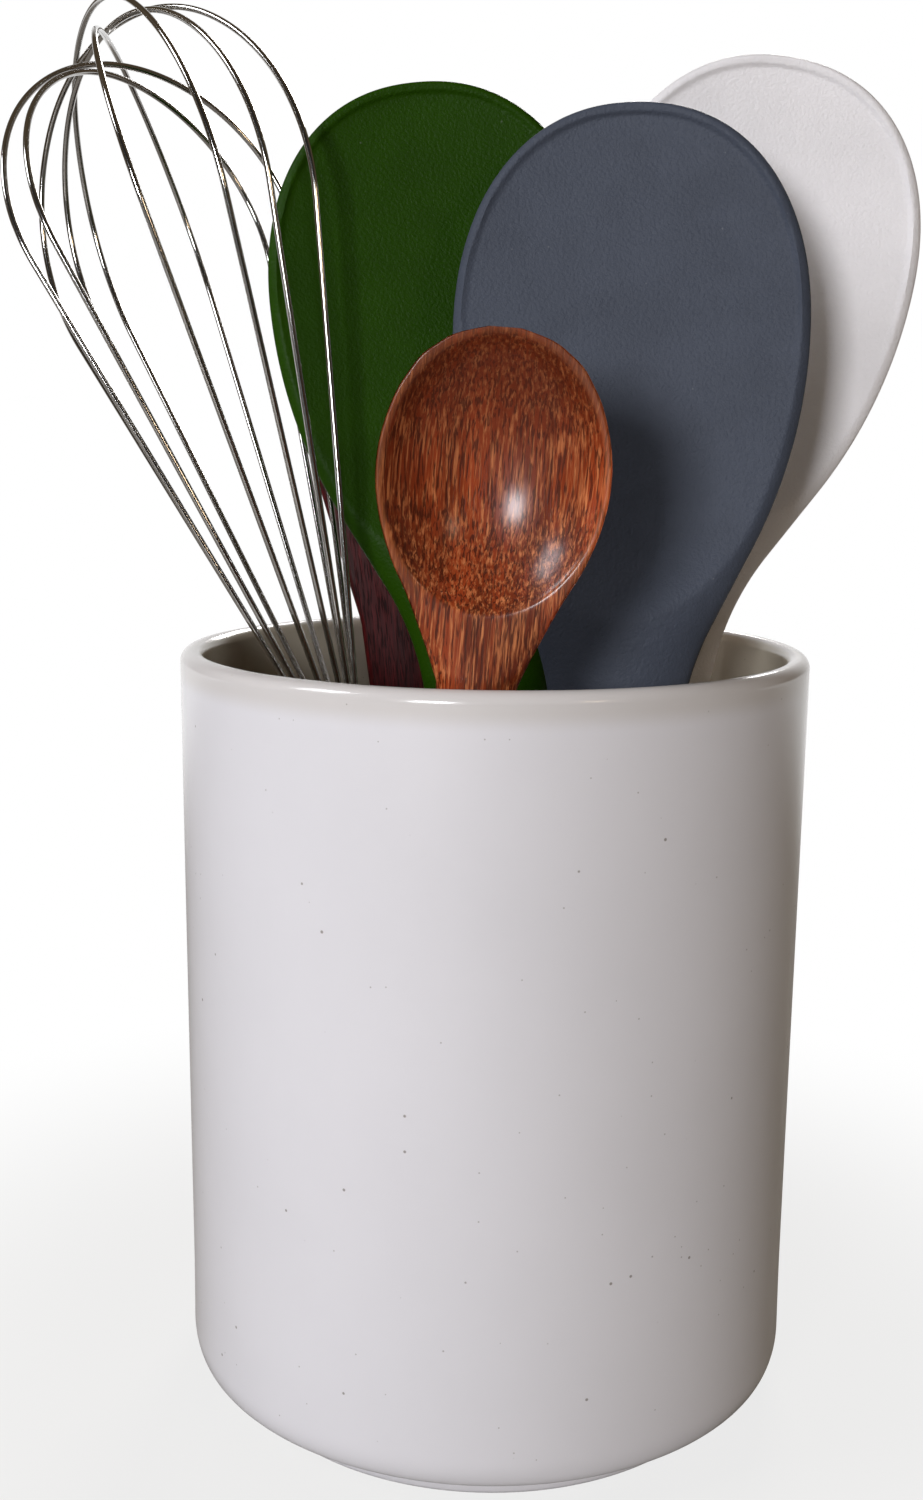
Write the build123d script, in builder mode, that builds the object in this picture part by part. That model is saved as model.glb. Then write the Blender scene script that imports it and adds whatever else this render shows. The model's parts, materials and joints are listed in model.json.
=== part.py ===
from build123d import *
import os
from math import acos, atan2, cos, degrees, hypot, radians, sin, sqrt, tan

os.makedirs("parts", exist_ok=True)

# Utensil crock with the six cooking tools that stand in it, in millimetres.
# Origin: centre of the foot ring's resting plane. +Z is up and +Y points away from the front view.

# Crock: one glazed stoneware pot with a round lip and a turned foot ring
crock_height = 159.5
lip_outer_radius = 65.0
base_outer_radius = 64.6
wall = 4.8
floor_thickness = 6.5
bore_corner_radius = 9.0
corner_height = 6.0
corner_inset = 2.5
underside_height = 7.0
foot_outer_radius = 55.1
foot_height = 5.6
foot_width = 5.0
foot_round = 1.2
recess_height = 4.0

# Clearances between pieces, and the length by which a cut overruns a face
seat_gap = 0.3
core_fit = 0.1
wire_fit = 0.05
cap_fit = 0.05
overrun = 2.0

# Silicone spoons, three of one pattern: a moulded head and handle over a flat stiffening core
spoon_half_width = 35.0
spoon_crown_height = 43.9
spoon_flank_radius = 96.0
spoon_neck_width = 26.0
spoon_neck_radius = 58.0
spoon_thickness = 13.0
spoon_back_swell = 3.6
dish_heel_drop = 55.8
dish_run = 20.0
dish_depth = 3.1
dish_tip_depth = 4.9
grip_end_width = 17.0
grip_end_thickness = 11.0
grip_width = 14.5
grip_thickness = 10.5
grip_end_round = 2.4
hang_slot_length = 15.0
hang_slot_width = 8.0
hang_slot_place = 16.0
core_width = 8.0
core_tongue_width = 17.0
core_tongue_rise = 18.0
core_tongue_length = 30.0
core_thickness = 3.0
core_depth = 5.4
core_round = 1.5
core_slot_margin = 4.0

# The crown's squareness, as a superellipse's power where 2 gives an ellipse, and the flanks' turn in degrees
crown_power_share = 2.22
spoon_flank_turn = 25.3

# Each head's widest place above the handle's end
grey_widest = 211.7
green_widest = 219.9
white_widest = 228.8

# Sections of a head: shares of its height from the neck to its widest place, then from there to its tip
flank_shares = (0.0, 0.1, 0.22, 0.36, 0.5, 0.64, 0.78, 0.9, 1.0)
crown_shares = (0.22, 0.44, 0.62, 0.77, 0.88, 0.95, 0.985, 0.998)

# Wooden spoon, carved in one piece
ladle_length = 211.0
ladle_neck_place = 149.5
ladle_half_width = 20.0
ladle_depth = 13.0
ladle_neck_width = 14.4
ladle_neck_thickness = 8.0
ladle_hollow_half_width = 18.9
ladle_hollow_half_length = 23.7
ladle_hollow_depth = 10.8
ladle_hollow_place = 186.4
ladle_grip_diameter = 11.0
ladle_end_diameter = 13.0
ladle_end_round = 4.0

# Sections of its bowl: place from neck to tip, half width and depth, as shares of those sizes
ladle_bowl_shares = (
    (0.0, 0.36, 0.615),
    (0.106, 0.475, 0.66),
    (0.236, 0.64, 0.77),
    (0.366, 0.84, 0.89),
    (0.496, 0.965, 0.98),
    (0.61, 1.0, 1.0),
    (0.74, 0.94, 0.93),
    (0.854, 0.795, 0.78),
    (0.935, 0.59, 0.56),
    (0.984, 0.32, 0.30),
    (1.0, 0.14, 0.14),
)

# Wooden turner, sawn flat and rounded over
turner_neck_width = 21.5
turner_blade_width = 41.0
turner_length = 243.0
turner_neck_place = 150.0
turner_shoulder_place = 200.0
turner_thickness = 5.0
turner_tip_round = 14.0
turner_edge_round = 1.4
turner_grip_width = 18.0
turner_grip_thickness = 8.0
turner_grip_corner = 3.6
turner_end_round = 3.0

# Whisk: six wire loops held by a plug in the mouth of a steel handle
wire_diameter = 1.25
wire_ring_radius = 6.0
wire_seat_depth = 8.0
wire_bend_radius = 22.0
crown_radius = 35.0
crown_turn = 45.0
crown_height = 145.5
crown_step = 1.8
bulb_half_width = 36.0
whisk_mouth = 141.7
mouth_radius = 8.6
collar_length = 17.0
waist_radius = 6.6
belly_radius = 8.4
handle_end_radius = 7.4
handle_wall = 0.9
plug_length = 14.0
plug_recess = 0.8
cap_thickness = 2.6
spigot_length = 8.0
hook_wire_diameter = 2.4
hook_width = 7.0
hook_length = 17.0
hook_seat_depth = 5.0

# Each loop's angle round the whisk and lean in degrees, its crown's level in steps, and its width share
loop_shares = {
    "whisk_wire_1": (-43.5, -0.6, 1.0, 0.961),
    "whisk_wire_2": (-29.2, -0.9, 0.0, 0.944),
    "whisk_wire_3": (2.4, 0.3, 2.8, 0.997),
    "whisk_wire_4": (31.2, -1.0, 6.0, 1.050),
    "whisk_wire_5": (45.6, 0.0, 4.1, 1.014),
    "whisk_wire_6": (60.0, 1.1, 5.1, 1.047),
}

# Where each tool crosses the lip's level and stands on the floor, as shares of the bore's radius
grey_rim_share = (0.413, -0.221)
grey_foot_share = (0.386, -0.348)
green_rim_share = (-0.047, 0.048)
green_foot_share = (0.273, -0.100)
white_rim_share = (0.601, 0.303)
white_foot_share = (0.114, 0.331)
ladle_rim_share = -0.050
ladle_foot_share = (-0.216, -0.700)
turner_rim_share = -0.345
turner_foot_share = (-0.060, 0.632)
whisk_rim_share = (-0.626, -0.110)
whisk_foot_share = (0.272, -0.598)

# How far each tool's face is turned from the front, in degrees: positive turns it towards +X
grey_turn = -8.0
green_turn = 7.0
white_turn = -7.0
ladle_turn = 0.0
turner_turn = 0.0
whisk_turn = -3.6

bore_radius = lip_outer_radius - wall
floor_level = recess_height + floor_thickness


def bore_place(share):
    """A place in the bore, given as shares of its radius."""
    return share[0] * bore_radius, share[1] * bore_radius


def tool_axes(rim_place, foot_place, turn):
    """The foot of a standing tool, and its directions up the handle, across it and out of its face."""
    foot = Vector(foot_place[0], foot_place[1], floor_level + seat_gap)
    rim = Vector(rim_place[0], rim_place[1], crock_height)
    up = (rim - foot).normalized()
    level = Vector(cos(radians(turn)), sin(radians(turn)), 0)
    across = (level - up * level.dot(up)).normalized()
    return foot, up, across, across.cross(up)


def tool_planes(axes, drop):
    """Planes square to a tool's handle, of its face and of its side, raised by how far its end drops."""
    foot, up, across, face = axes
    origin = foot + up * (drop / up.Z)
    square_plane = Plane(origin=origin, x_dir=across, z_dir=up)
    face_plane = Plane(origin=origin, x_dir=across, z_dir=face)
    side_plane = Plane(origin=origin, x_dir=up, z_dir=across)
    return square_plane, face_plane, side_plane


def end_drop(axes, half_width, thickness, front, end_round):
    """How far a leaning handle's rounded end reaches below the middle of that end."""
    _, up, across, face = axes
    drop = end_round * (1 - up.Z) + (half_width - end_round) * abs(across.Z)
    drop += (thickness / 2 - end_round) * abs(face.Z) + (thickness / 2 - front) * face.Z
    return drop


# Crock
with BuildPart() as crock:
    with BuildSketch(Plane.XZ):
        with BuildLine():
            foot_inner_radius = foot_outer_radius - foot_width
            corner_radius_in = base_outer_radius - corner_inset
            bore_base_radius = base_outer_radius - wall
            lip_level = crock_height - wall / 2
            Polyline(
                (0, recess_height),
                (foot_inner_radius, recess_height),
                (foot_inner_radius, 0),
                (foot_outer_radius, 0),
                (foot_outer_radius, foot_height),
                (corner_radius_in, underside_height),
            )
            EllipticalCenterArc(
                (corner_radius_in, underside_height + corner_height),
                corner_inset, corner_height, start_angle=-90, arc_size=90,
            )
            Line((base_outer_radius, underside_height + corner_height), (lip_outer_radius, lip_level))
            ThreePointArc(
                (lip_outer_radius, lip_level),
                (lip_outer_radius - wall / 2, crock_height),
                (bore_radius, lip_level),
            )
            Line((bore_radius, lip_level), (bore_base_radius, floor_level + bore_corner_radius))
            RadiusArc(
                (bore_base_radius, floor_level + bore_corner_radius),
                (bore_base_radius - bore_corner_radius, floor_level),
                bore_corner_radius,
            )
            Line((bore_base_radius - bore_corner_radius, floor_level), (0, floor_level))
            Line((0, floor_level), (0, recess_height))
        make_face()
    revolve(axis=Axis.Z)
    foot_edges = crock.edges().filter_by(GeomType.CIRCLE).group_by(Axis.Z)[0]
    fillet(foot_edges, foot_round)
crock.part.label = "crock"
export_step(crock.part, "parts/crock.step")


def head_points():
    """Where a head's round flank ends, where its neck's fillet starts and where the neck's even width starts."""
    turn = radians(spoon_flank_turn)
    neck_half = spoon_neck_width / 2
    flank_x = spoon_half_width - spoon_flank_radius * (1 - cos(turn))
    flank_y = -spoon_flank_radius * sin(turn)
    neck_x = neck_half + spoon_neck_radius * (1 - cos(turn))
    neck_y = flank_y - (flank_x - neck_x) / tan(turn)
    return (flank_x, flank_y), (neck_x, neck_y), (neck_half, neck_y - spoon_neck_radius * sin(turn))


def head_half_width(rise):
    """Half width of a head at a height above its widest place: crown, round flank, straight flank and fillet."""
    flank, neck, heel = head_points()
    if rise > 0:
        fill = 1 - (rise / spoon_crown_height) ** crown_power_share
        return spoon_half_width * fill ** (1 / crown_power_share)
    if rise > flank[1]:
        return spoon_half_width - spoon_flank_radius + sqrt(spoon_flank_radius ** 2 - rise ** 2)
    if rise > neck[1]:
        return flank[0] - (flank[1] - rise) * tan(radians(spoon_flank_turn))
    return heel[0] + spoon_neck_radius - sqrt(spoon_neck_radius ** 2 - (rise - heel[1]) ** 2)


def oval(half_width, front_depth, back_depth):
    """A section across a handle: half an ellipse in front and half of another behind."""
    with BuildSketch(mode=Mode.PRIVATE) as section:
        with BuildLine():
            EllipticalCenterArc((0, 0), half_width, back_depth, start_angle=0, arc_size=180)
            EllipticalCenterArc((0, 0), half_width, front_depth, start_angle=180, arc_size=180)
        make_face()
    return section.sketch


def silicone_spoon(name, widest, rim_share, foot_share, turn):
    """A moulded spoon and the stiffening core sealed inside it."""
    front = grip_end_thickness / 2
    axes = tool_axes(bore_place(rim_share), bore_place(foot_share), turn)
    drop = end_drop(axes, grip_end_width / 2, grip_end_thickness, front, grip_end_round)
    square_plane, face_plane, side_plane = tool_planes(axes, drop)
    top = widest + spoon_crown_height
    heel_rise = head_points()[2][1]
    heel = widest + heel_rise
    neck_back = spoon_thickness - front

    with BuildPart() as dish:
        with BuildSketch(side_plane.offset(-spoon_half_width - overrun)):
            with BuildLine():
                dish_heel = widest - dish_heel_drop
                run_end = (dish_heel + dish_run, front - dish_depth)
                dish_tip = (top + overrun, front - dish_tip_depth)
                dish_slope = (run_end[0] - dish_tip[0], run_end[1] - dish_tip[1])
                TangentArc(run_end, (dish_heel, front), tangent=dish_slope)
                Polyline(
                    (dish_heel, front),
                    (dish_heel, front + overrun),
                    (top + overrun, front + overrun),
                    dish_tip,
                    run_end,
                )
            make_face()
        extrude(amount=2 * (spoon_half_width + overrun))

    core_start = hang_slot_place + hang_slot_length / 2 + core_slot_margin
    tongue_start = heel + core_tongue_rise
    tongue_end = tongue_start + core_tongue_length

    def core_sketch(grow):
        half = core_width / 2 + grow
        tongue_half = core_tongue_width / 2 + grow
        with BuildSketch(mode=Mode.PRIVATE) as strip:
            with BuildLine():
                Polyline(
                    (-half, core_start - grow), (half, core_start - grow),
                    (half, tongue_start), (tongue_half, tongue_start + core_width),
                    (tongue_half, tongue_end + grow), (-tongue_half, tongue_end + grow),
                    (-tongue_half, tongue_start + core_width), (-half, tongue_start),
                    close=True,
                )
            make_face()
            fillet(strip.vertices(), core_round)
        return strip.sketch

    with BuildPart() as core:
        with BuildSketch(face_plane.offset(front - core_depth)):
            add(core_sketch(0))
        extrude(amount=-core_thickness)

    with BuildPart() as cavity:
        with BuildSketch(face_plane.offset(front - core_depth + core_fit)):
            add(core_sketch(core_fit))
        extrude(amount=-core_thickness - 2 * core_fit)

    with BuildPart() as spoon:
        stations = (
            (0, grip_end_width, grip_end_thickness),
            (hang_slot_place + hang_slot_length, grip_end_width, grip_end_thickness),
            (heel / 2, grip_width, grip_thickness),
            (heel, spoon_neck_width, spoon_thickness),
        )
        for station, width, thickness in stations:
            with BuildSketch(square_plane.offset(station)):
                add(oval(width / 2, front, thickness - front))
        loft()
        end_face = spoon.faces().filter_by(GeomType.PLANE).sort_by(Axis.Z)[0]
        fillet(end_face.edges(), grip_end_round)
        for share in flank_shares:
            blend = share ** 2 * (3 - 2 * share)
            rise = (1 - share) * heel_rise
            back_depth = neck_back + blend * (spoon_back_swell - neck_back)
            with BuildSketch(square_plane.offset(widest + rise)):
                add(oval(head_half_width(rise), front, back_depth))
        for share in crown_shares:
            half_width = head_half_width(share * spoon_crown_height)
            thin = half_width / spoon_half_width
            with BuildSketch(square_plane.offset(widest + share * spoon_crown_height)):
                add(oval(half_width, thin * front, thin * spoon_back_swell))
        loft()
        add(dish.part, mode=Mode.SUBTRACT)
        with BuildSketch(face_plane.offset(front + overrun)):
            with Locations((0, hang_slot_place)):
                SlotOverall(hang_slot_length, hang_slot_width, rotation=90)
        extrude(amount=-grip_end_thickness - 2 * overrun, mode=Mode.SUBTRACT)
        add(cavity.part, mode=Mode.SUBTRACT)

    spoon.part.label = name + "_silicone"
    core.part.label = name + "_core"
    export_step(spoon.part, "parts/" + name + "_silicone.step")
    export_step(core.part, "parts/" + name + "_core.step")


silicone_spoon("grey_spoon", grey_widest, grey_rim_share, grey_foot_share, grey_turn)
silicone_spoon("green_spoon", green_widest, green_rim_share, green_foot_share, green_turn)
silicone_spoon("white_spoon", white_widest, white_rim_share, white_foot_share, white_turn)


# Wooden spoon: its neck leans on the front of the lip
def lip_contact(side_x, side):
    """How far from the crock's middle a face may lie whose corner at side_x meets the bore."""
    return side * sqrt((bore_radius - seat_gap) ** 2 - side_x ** 2)


ladle_front = ladle_neck_thickness / 2
ladle_rim_x = ladle_rim_share * bore_radius
ladle_corner_x = abs(ladle_rim_x) + ladle_neck_width / 2
ladle_rim_place = (ladle_rim_x, lip_contact(ladle_corner_x, -1) + ladle_front)
ladle_axes = tool_axes(ladle_rim_place, bore_place(ladle_foot_share), ladle_turn)
ladle_drop = end_drop(ladle_axes, ladle_end_diameter / 2, ladle_end_diameter, ladle_front, ladle_end_round)
ladle_square, ladle_face, ladle_side = tool_planes(ladle_axes, ladle_drop)

with BuildPart() as ladle_hollow:
    hollow_radius = (ladle_hollow_half_width ** 2 + ladle_hollow_depth ** 2) / (2 * ladle_hollow_depth)
    hollow_reach = hollow_radius * ladle_hollow_half_length / ladle_hollow_half_width
    hollow_lift = hollow_radius - ladle_hollow_depth
    with BuildSketch(ladle_side):
        with BuildLine():
            hollow_centre = (ladle_hollow_place, ladle_front + hollow_lift)
            EllipticalCenterArc(hollow_centre, hollow_reach, hollow_radius, start_angle=180, arc_size=180)
            Line(
                (ladle_hollow_place - hollow_reach, hollow_centre[1]),
                (ladle_hollow_place + hollow_reach, hollow_centre[1]),
            )
        make_face()
    hollow_origin = ladle_side.from_local_coords(Vector(hollow_centre[0], hollow_centre[1], 0))
    revolve(axis=Axis(hollow_origin, ladle_side.x_dir))

with BuildPart() as wooden_spoon:
    ladle_stations = (
        (0, ladle_end_diameter, ladle_end_diameter),
        (ladle_neck_place / 2, ladle_grip_diameter, ladle_grip_diameter),
        (ladle_neck_place + overrun, ladle_neck_width, ladle_neck_thickness),
    )
    for station, width, thickness in ladle_stations:
        with BuildSketch(ladle_square.offset(station)):
            with Locations((0, thickness / 2 - ladle_front)):
                Ellipse(width / 2, thickness / 2)
    loft()
    end_face = wooden_spoon.faces().filter_by(GeomType.PLANE).sort_by(Axis.Z)[0]
    fillet(end_face.edges(), ladle_end_round)
    for place_share, width_share, depth_share in ladle_bowl_shares:
        station = ladle_neck_place + place_share * (ladle_length - ladle_neck_place)
        half_width = width_share * ladle_half_width
        with BuildSketch(ladle_square.offset(station)):
            with BuildLine():
                EllipticalCenterArc(
                    (0, -ladle_front), half_width, depth_share * ladle_depth, start_angle=0, arc_size=180,
                )
                Line((-half_width, -ladle_front), (half_width, -ladle_front))
            make_face()
    loft()
    add(ladle_hollow.part, mode=Mode.SUBTRACT)
wooden_spoon.part.label = "wooden_spoon"
export_step(wooden_spoon.part, "parts/wooden_spoon.step")

# Wooden turner: its neck leans on the back of the lip
turner_front = turner_grip_thickness / 2
turner_rim_x = turner_rim_share * bore_radius
turner_corner_x = abs(turner_rim_x) + turner_neck_width / 2
turner_rim_place = (turner_rim_x, lip_contact(turner_corner_x, 1) - turner_front)
turner_axes = tool_axes(turner_rim_place, bore_place(turner_foot_share), turner_turn)
turner_drop = end_drop(
    turner_axes, turner_grip_width / 2, turner_grip_thickness, turner_front, turner_end_round,
)
turner_square, turner_face, turner_side = tool_planes(turner_axes, turner_drop)

with BuildPart() as wooden_turner:
    with BuildSketch(turner_face.offset(turner_thickness / 2)) as blade_sketch:
        with BuildLine():
            neck_half = turner_neck_width / 2
            blade_half = turner_blade_width / 2
            Polyline(
                (neck_half, turner_neck_place),
                (blade_half, turner_shoulder_place),
                (blade_half, turner_length),
                (-blade_half, turner_length),
                (-blade_half, turner_shoulder_place),
                (-neck_half, turner_neck_place),
                close=True,
            )
        make_face()
        tip_corners = blade_sketch.vertices().group_by(Axis.Y)[-1]
        fillet(tip_corners, turner_tip_round)
    extrude(amount=-turner_thickness)
    blade_faces = wooden_turner.faces().sort_by(Axis(turner_face.origin, turner_face.z_dir))
    fillet(blade_faces[0].edges() + blade_faces[-1].edges(), turner_edge_round)
    turner_stations = (
        (0, turner_grip_width, turner_grip_thickness, turner_grip_corner),
        (turner_neck_place / 2, turner_grip_width, turner_grip_thickness, turner_grip_corner),
        (turner_neck_place + overrun, turner_neck_width, turner_thickness, turner_edge_round),
    )
    for station, width, thickness, corner in turner_stations:
        with BuildSketch(turner_square.offset(station)):
            RectangleRounded(width, thickness, corner)
    loft()
    end_face = wooden_turner.faces().filter_by(GeomType.PLANE).sort_by(Axis.Z)[0]
    fillet(end_face.edges(), turner_end_round)
wooden_turner.part.label = "wooden_turner"
export_step(wooden_turner.part, "parts/wooden_turner.step")

# Whisk: the hanging loop's bend stands on the floor
hook_radius = (hook_width + hook_wire_diameter) / 2
whisk_axes = tool_axes(bore_place(whisk_rim_share), bore_place(whisk_foot_share), whisk_turn)
_, whisk_up, whisk_across, whisk_front = whisk_axes
whisk_drop = hook_radius * (hypot(whisk_up.Z, whisk_across.Z) - whisk_up.Z)
whisk_drop += hook_wire_diameter / 2 * (1 - whisk_up.Z)
whisk_square, whisk_face, whisk_side = tool_planes(whisk_axes, whisk_drop)
whisk_axis = Axis(whisk_face.origin, whisk_up)
tube_foot = hook_length + cap_thickness

with BuildPart() as whisk_handle:
    with BuildSketch(whisk_face):
        with BuildLine():
            collar_foot = whisk_mouth - collar_length
            belly_place = (tube_foot + collar_foot) / 2
            waist_place = (belly_place + collar_foot) / 2
            radii = (
                (mouth_radius, collar_foot),
                (waist_radius, waist_place),
                (belly_radius, belly_place),
                (handle_end_radius, tube_foot),
            )
            Line((mouth_radius, whisk_mouth), radii[0])
            Spline(*radii, tangents=((0, -1), (0, -1)))
            Line(radii[-1], (handle_end_radius - handle_wall, tube_foot))
            Spline(*[(radius - handle_wall, place) for radius, place in radii], tangents=((0, -1), (0, -1)))
            Line((mouth_radius - handle_wall, collar_foot), (mouth_radius - handle_wall, whisk_mouth))
            Line((mouth_radius - handle_wall, whisk_mouth), (mouth_radius, whisk_mouth))
        make_face()
    revolve(axis=whisk_axis)
whisk_handle.part.label = "whisk_handle"
export_step(whisk_handle.part, "parts/whisk_handle.step")

with BuildPart() as whisk_end_cap:
    with BuildSketch(whisk_square.offset(hook_length)):
        Circle(handle_end_radius)
    extrude(amount=cap_thickness)
    with BuildSketch(whisk_square.offset(tube_foot)):
        Circle(handle_end_radius - handle_wall - cap_fit)
    extrude(amount=spigot_length)
    with BuildSketch(whisk_square.offset(hook_length)):
        with Locations((hook_radius, 0), (-hook_radius, 0)):
            Circle(hook_wire_diameter / 2 + wire_fit)
    extrude(amount=hook_seat_depth + wire_fit, mode=Mode.SUBTRACT)
whisk_end_cap.part.label = "whisk_end_cap"
export_step(whisk_end_cap.part, "parts/whisk_end_cap.step")

with BuildPart() as whisk_hanging_loop:
    hook_top = hook_length + hook_seat_depth
    hook_centre = hook_radius + hook_wire_diameter / 2
    with BuildLine(whisk_face) as hook_path:
        Line((hook_radius, hook_top), (hook_radius, hook_centre))
        CenterArc((0, hook_centre), hook_radius, 0, -180)
        Line((-hook_radius, hook_centre), (-hook_radius, hook_top))
    with BuildSketch(Plane(origin=hook_path.line @ 0, z_dir=hook_path.line % 0)):
        Circle(hook_wire_diameter / 2)
    sweep(path=hook_path.line)
whisk_hanging_loop.part.label = "whisk_hanging_loop"
export_step(whisk_hanging_loop.part, "parts/whisk_hanging_loop.step")


def loop_plane(angle, lean):
    """Plane of a wire loop: x towards its near leg, y up the whisk, leaned out of the whisk's axis."""
    turn, tilt = radians(angle), radians(lean)
    outward = whisk_front * cos(turn) + whisk_across * sin(turn)
    normal = whisk_up.cross(outward)
    upward = whisk_up * cos(tilt) + normal * sin(tilt)
    return Plane(origin=whisk_face.origin + whisk_up * whisk_mouth, x_dir=outward, z_dir=outward.cross(upward))


def loop_path(plane, height, half_width):
    """Centre line of a wire loop: seat, bend, leg, shoulder and crown, and the same again down to its other seat."""
    turn = radians(crown_turn)
    shoulder_radius = (half_width - crown_radius * sin(turn)) / (1 - sin(turn))
    centre_x = (crown_radius - shoulder_radius) * sin(turn)
    centre_y = height - crown_radius + (crown_radius - shoulder_radius) * cos(turn)
    run_x = wire_ring_radius + wire_bend_radius - centre_x
    leg_turn = atan2(centre_y, run_x) - acos((wire_bend_radius + shoulder_radius) / hypot(run_x, centre_y))
    leg = degrees(leg_turn)
    bend_end = (
        wire_ring_radius + wire_bend_radius * (1 - cos(leg_turn)),
        wire_bend_radius * sin(leg_turn),
    )
    shoulder_end = (
        centre_x + shoulder_radius * cos(leg_turn),
        centre_y - shoulder_radius * sin(leg_turn),
    )
    sweep_back = 90 - crown_turn + leg
    with BuildLine(plane) as path:
        Line((wire_ring_radius, -wire_seat_depth), (wire_ring_radius, 0))
        CenterArc((wire_ring_radius + wire_bend_radius, 0), wire_bend_radius, 180, -leg)
        Line(bend_end, shoulder_end)
        CenterArc((centre_x, centre_y), shoulder_radius, -leg, sweep_back)
        CenterArc((0, height - crown_radius), crown_radius, 90 - crown_turn, 2 * crown_turn)
        CenterArc((-centre_x, centre_y), shoulder_radius, 90 + crown_turn, sweep_back)
        Line((-shoulder_end[0], shoulder_end[1]), (-bend_end[0], bend_end[1]))
        CenterArc((-wire_ring_radius - wire_bend_radius, 0), wire_bend_radius, leg, -leg)
        Line((-wire_ring_radius, 0), (-wire_ring_radius, -wire_seat_depth))
    return path.line


with BuildPart() as whisk_wire_plug:
    with BuildSketch(whisk_square.offset(whisk_mouth - plug_recess - plug_length)):
        Circle(mouth_radius - handle_wall - wire_fit)
    extrude(amount=plug_length)
    for angle, lean, _, _ in loop_shares.values():
        seat_plane = loop_plane(angle, lean)
        with BuildSketch(Plane(
            origin=seat_plane.from_local_coords(Vector(0, -wire_seat_depth - wire_fit, 0)),
            x_dir=seat_plane.x_dir, z_dir=seat_plane.y_dir,
        )):
            with Locations((wire_ring_radius, 0), (-wire_ring_radius, 0)):
                Circle(wire_diameter / 2 + wire_fit)
        extrude(amount=wire_seat_depth + wire_fit, mode=Mode.SUBTRACT)
whisk_wire_plug.part.label = "whisk_wire_plug"
export_step(whisk_wire_plug.part, "parts/whisk_wire_plug.step")

for wire_name, (angle, lean, level_share, width_share) in loop_shares.items():
    path = loop_path(
        loop_plane(angle, lean), crown_height + level_share * crown_step, width_share * bulb_half_width,
    )
    with BuildPart() as whisk_wire:
        with BuildSketch(Plane(origin=path @ 0, z_dir=path % 0)):
            Circle(wire_diameter / 2)
        sweep(path=path)
    whisk_wire.part.label = wire_name
    export_step(whisk_wire.part, "parts/" + wire_name + ".step")
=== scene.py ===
import json
from math import acos, atan2, cos, hypot, pi, radians, sin, tan

import bmesh
import bpy
import numpy as np
from bpy.props import FloatProperty, FloatVectorProperty, PointerProperty
from bpy.types import Operator, Panel, PropertyGroup
from mathutils import Matrix, Vector


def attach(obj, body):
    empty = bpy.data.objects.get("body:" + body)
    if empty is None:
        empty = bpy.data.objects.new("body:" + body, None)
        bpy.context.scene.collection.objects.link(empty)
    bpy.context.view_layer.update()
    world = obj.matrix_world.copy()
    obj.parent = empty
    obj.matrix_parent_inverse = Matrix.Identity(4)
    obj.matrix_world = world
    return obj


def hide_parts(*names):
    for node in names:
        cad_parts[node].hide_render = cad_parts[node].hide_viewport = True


bl_info = {
    "name": "Utensil crock",
    "version": (1, 0, 0),
    "blender": (4, 5, 0),
    "location": "View3D > Sidebar > Crock",
    "description": "A glazed crock with the whisk, spoons and turner that stand in it",
    "category": "Object",
}

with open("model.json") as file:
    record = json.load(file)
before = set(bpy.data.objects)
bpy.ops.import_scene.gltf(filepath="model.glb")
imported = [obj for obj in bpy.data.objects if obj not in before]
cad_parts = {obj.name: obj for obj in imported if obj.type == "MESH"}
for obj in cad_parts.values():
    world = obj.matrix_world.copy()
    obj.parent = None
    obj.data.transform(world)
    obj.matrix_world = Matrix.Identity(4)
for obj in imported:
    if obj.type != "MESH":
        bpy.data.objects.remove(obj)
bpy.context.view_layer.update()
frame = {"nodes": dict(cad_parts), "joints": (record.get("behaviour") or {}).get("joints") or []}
LIFTS = {joint["child"]: np.array(joint["axis"]) for joint in frame["joints"]}

# Room between each tool's end and the crock's floor
SEAT_GAP = 0.0003

# Points nearer than this are one point, and an end thinner than this needs no fan
WELD_DISTANCE = 1e-7
POLE_SIZE = 1e-6

# Least divisor
TINY = 1e-9

# What a piece carries at its points: 1 on its edges where a highlight is painted, and its own place across, out and
# along
EDGE_HIGHLIGHT = "edge"
GRAIN_PLACE = "along"

# Where each tool stands on the floor, as shares of the bore's radius, and how far its face is turned in degrees
STANDS = {
    "grey_spoon": (0.386, -0.348, -8.0),
    "green_spoon": (0.273, -0.100, 7.0),
    "white_spoon": (0.114, 0.331, -7.0),
    "wooden_spoon": (-0.216, -0.700, 0.0),
    "wooden_turner": (-0.060, 0.632, 0.0),
    "whisk": (0.272, -0.598, -3.6),
}

# Each silicone head's widest place above its handle's end
HEADS = {"grey_spoon": 0.2117, "green_spoon": 0.2199, "white_spoon": 0.2288}

# Sections of the wooden spoon's bowl: place from neck to tip, half width and depth, as shares
BOWL_SHARES = np.array((
    (0.0, 0.36, 0.615),
    (0.106, 0.475, 0.66),
    (0.236, 0.64, 0.77),
    (0.366, 0.84, 0.89),
    (0.496, 0.965, 0.98),
    (0.61, 1.0, 1.0),
    (0.74, 0.94, 0.93),
    (0.854, 0.795, 0.78),
    (0.935, 0.59, 0.56),
    (0.984, 0.32, 0.30),
    (1.0, 0.14, 0.14),
))

# Each wire loop's angle round the whisk and lean in degrees, its crown's level in steps, and its width share
LOOP_SHARES = {
    "whisk_wire_1": (-43.5, -0.6, 1.0, 0.961),
    "whisk_wire_2": (-29.2, -0.9, 0.0, 0.944),
    "whisk_wire_3": (2.4, 0.3, 2.8, 0.997),
    "whisk_wire_4": (31.2, -1.0, 6.0, 1.050),
    "whisk_wire_5": (45.6, 0.0, 4.1, 1.014),
    "whisk_wire_6": (60.0, 1.1, 5.1, 1.047),
}

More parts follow.
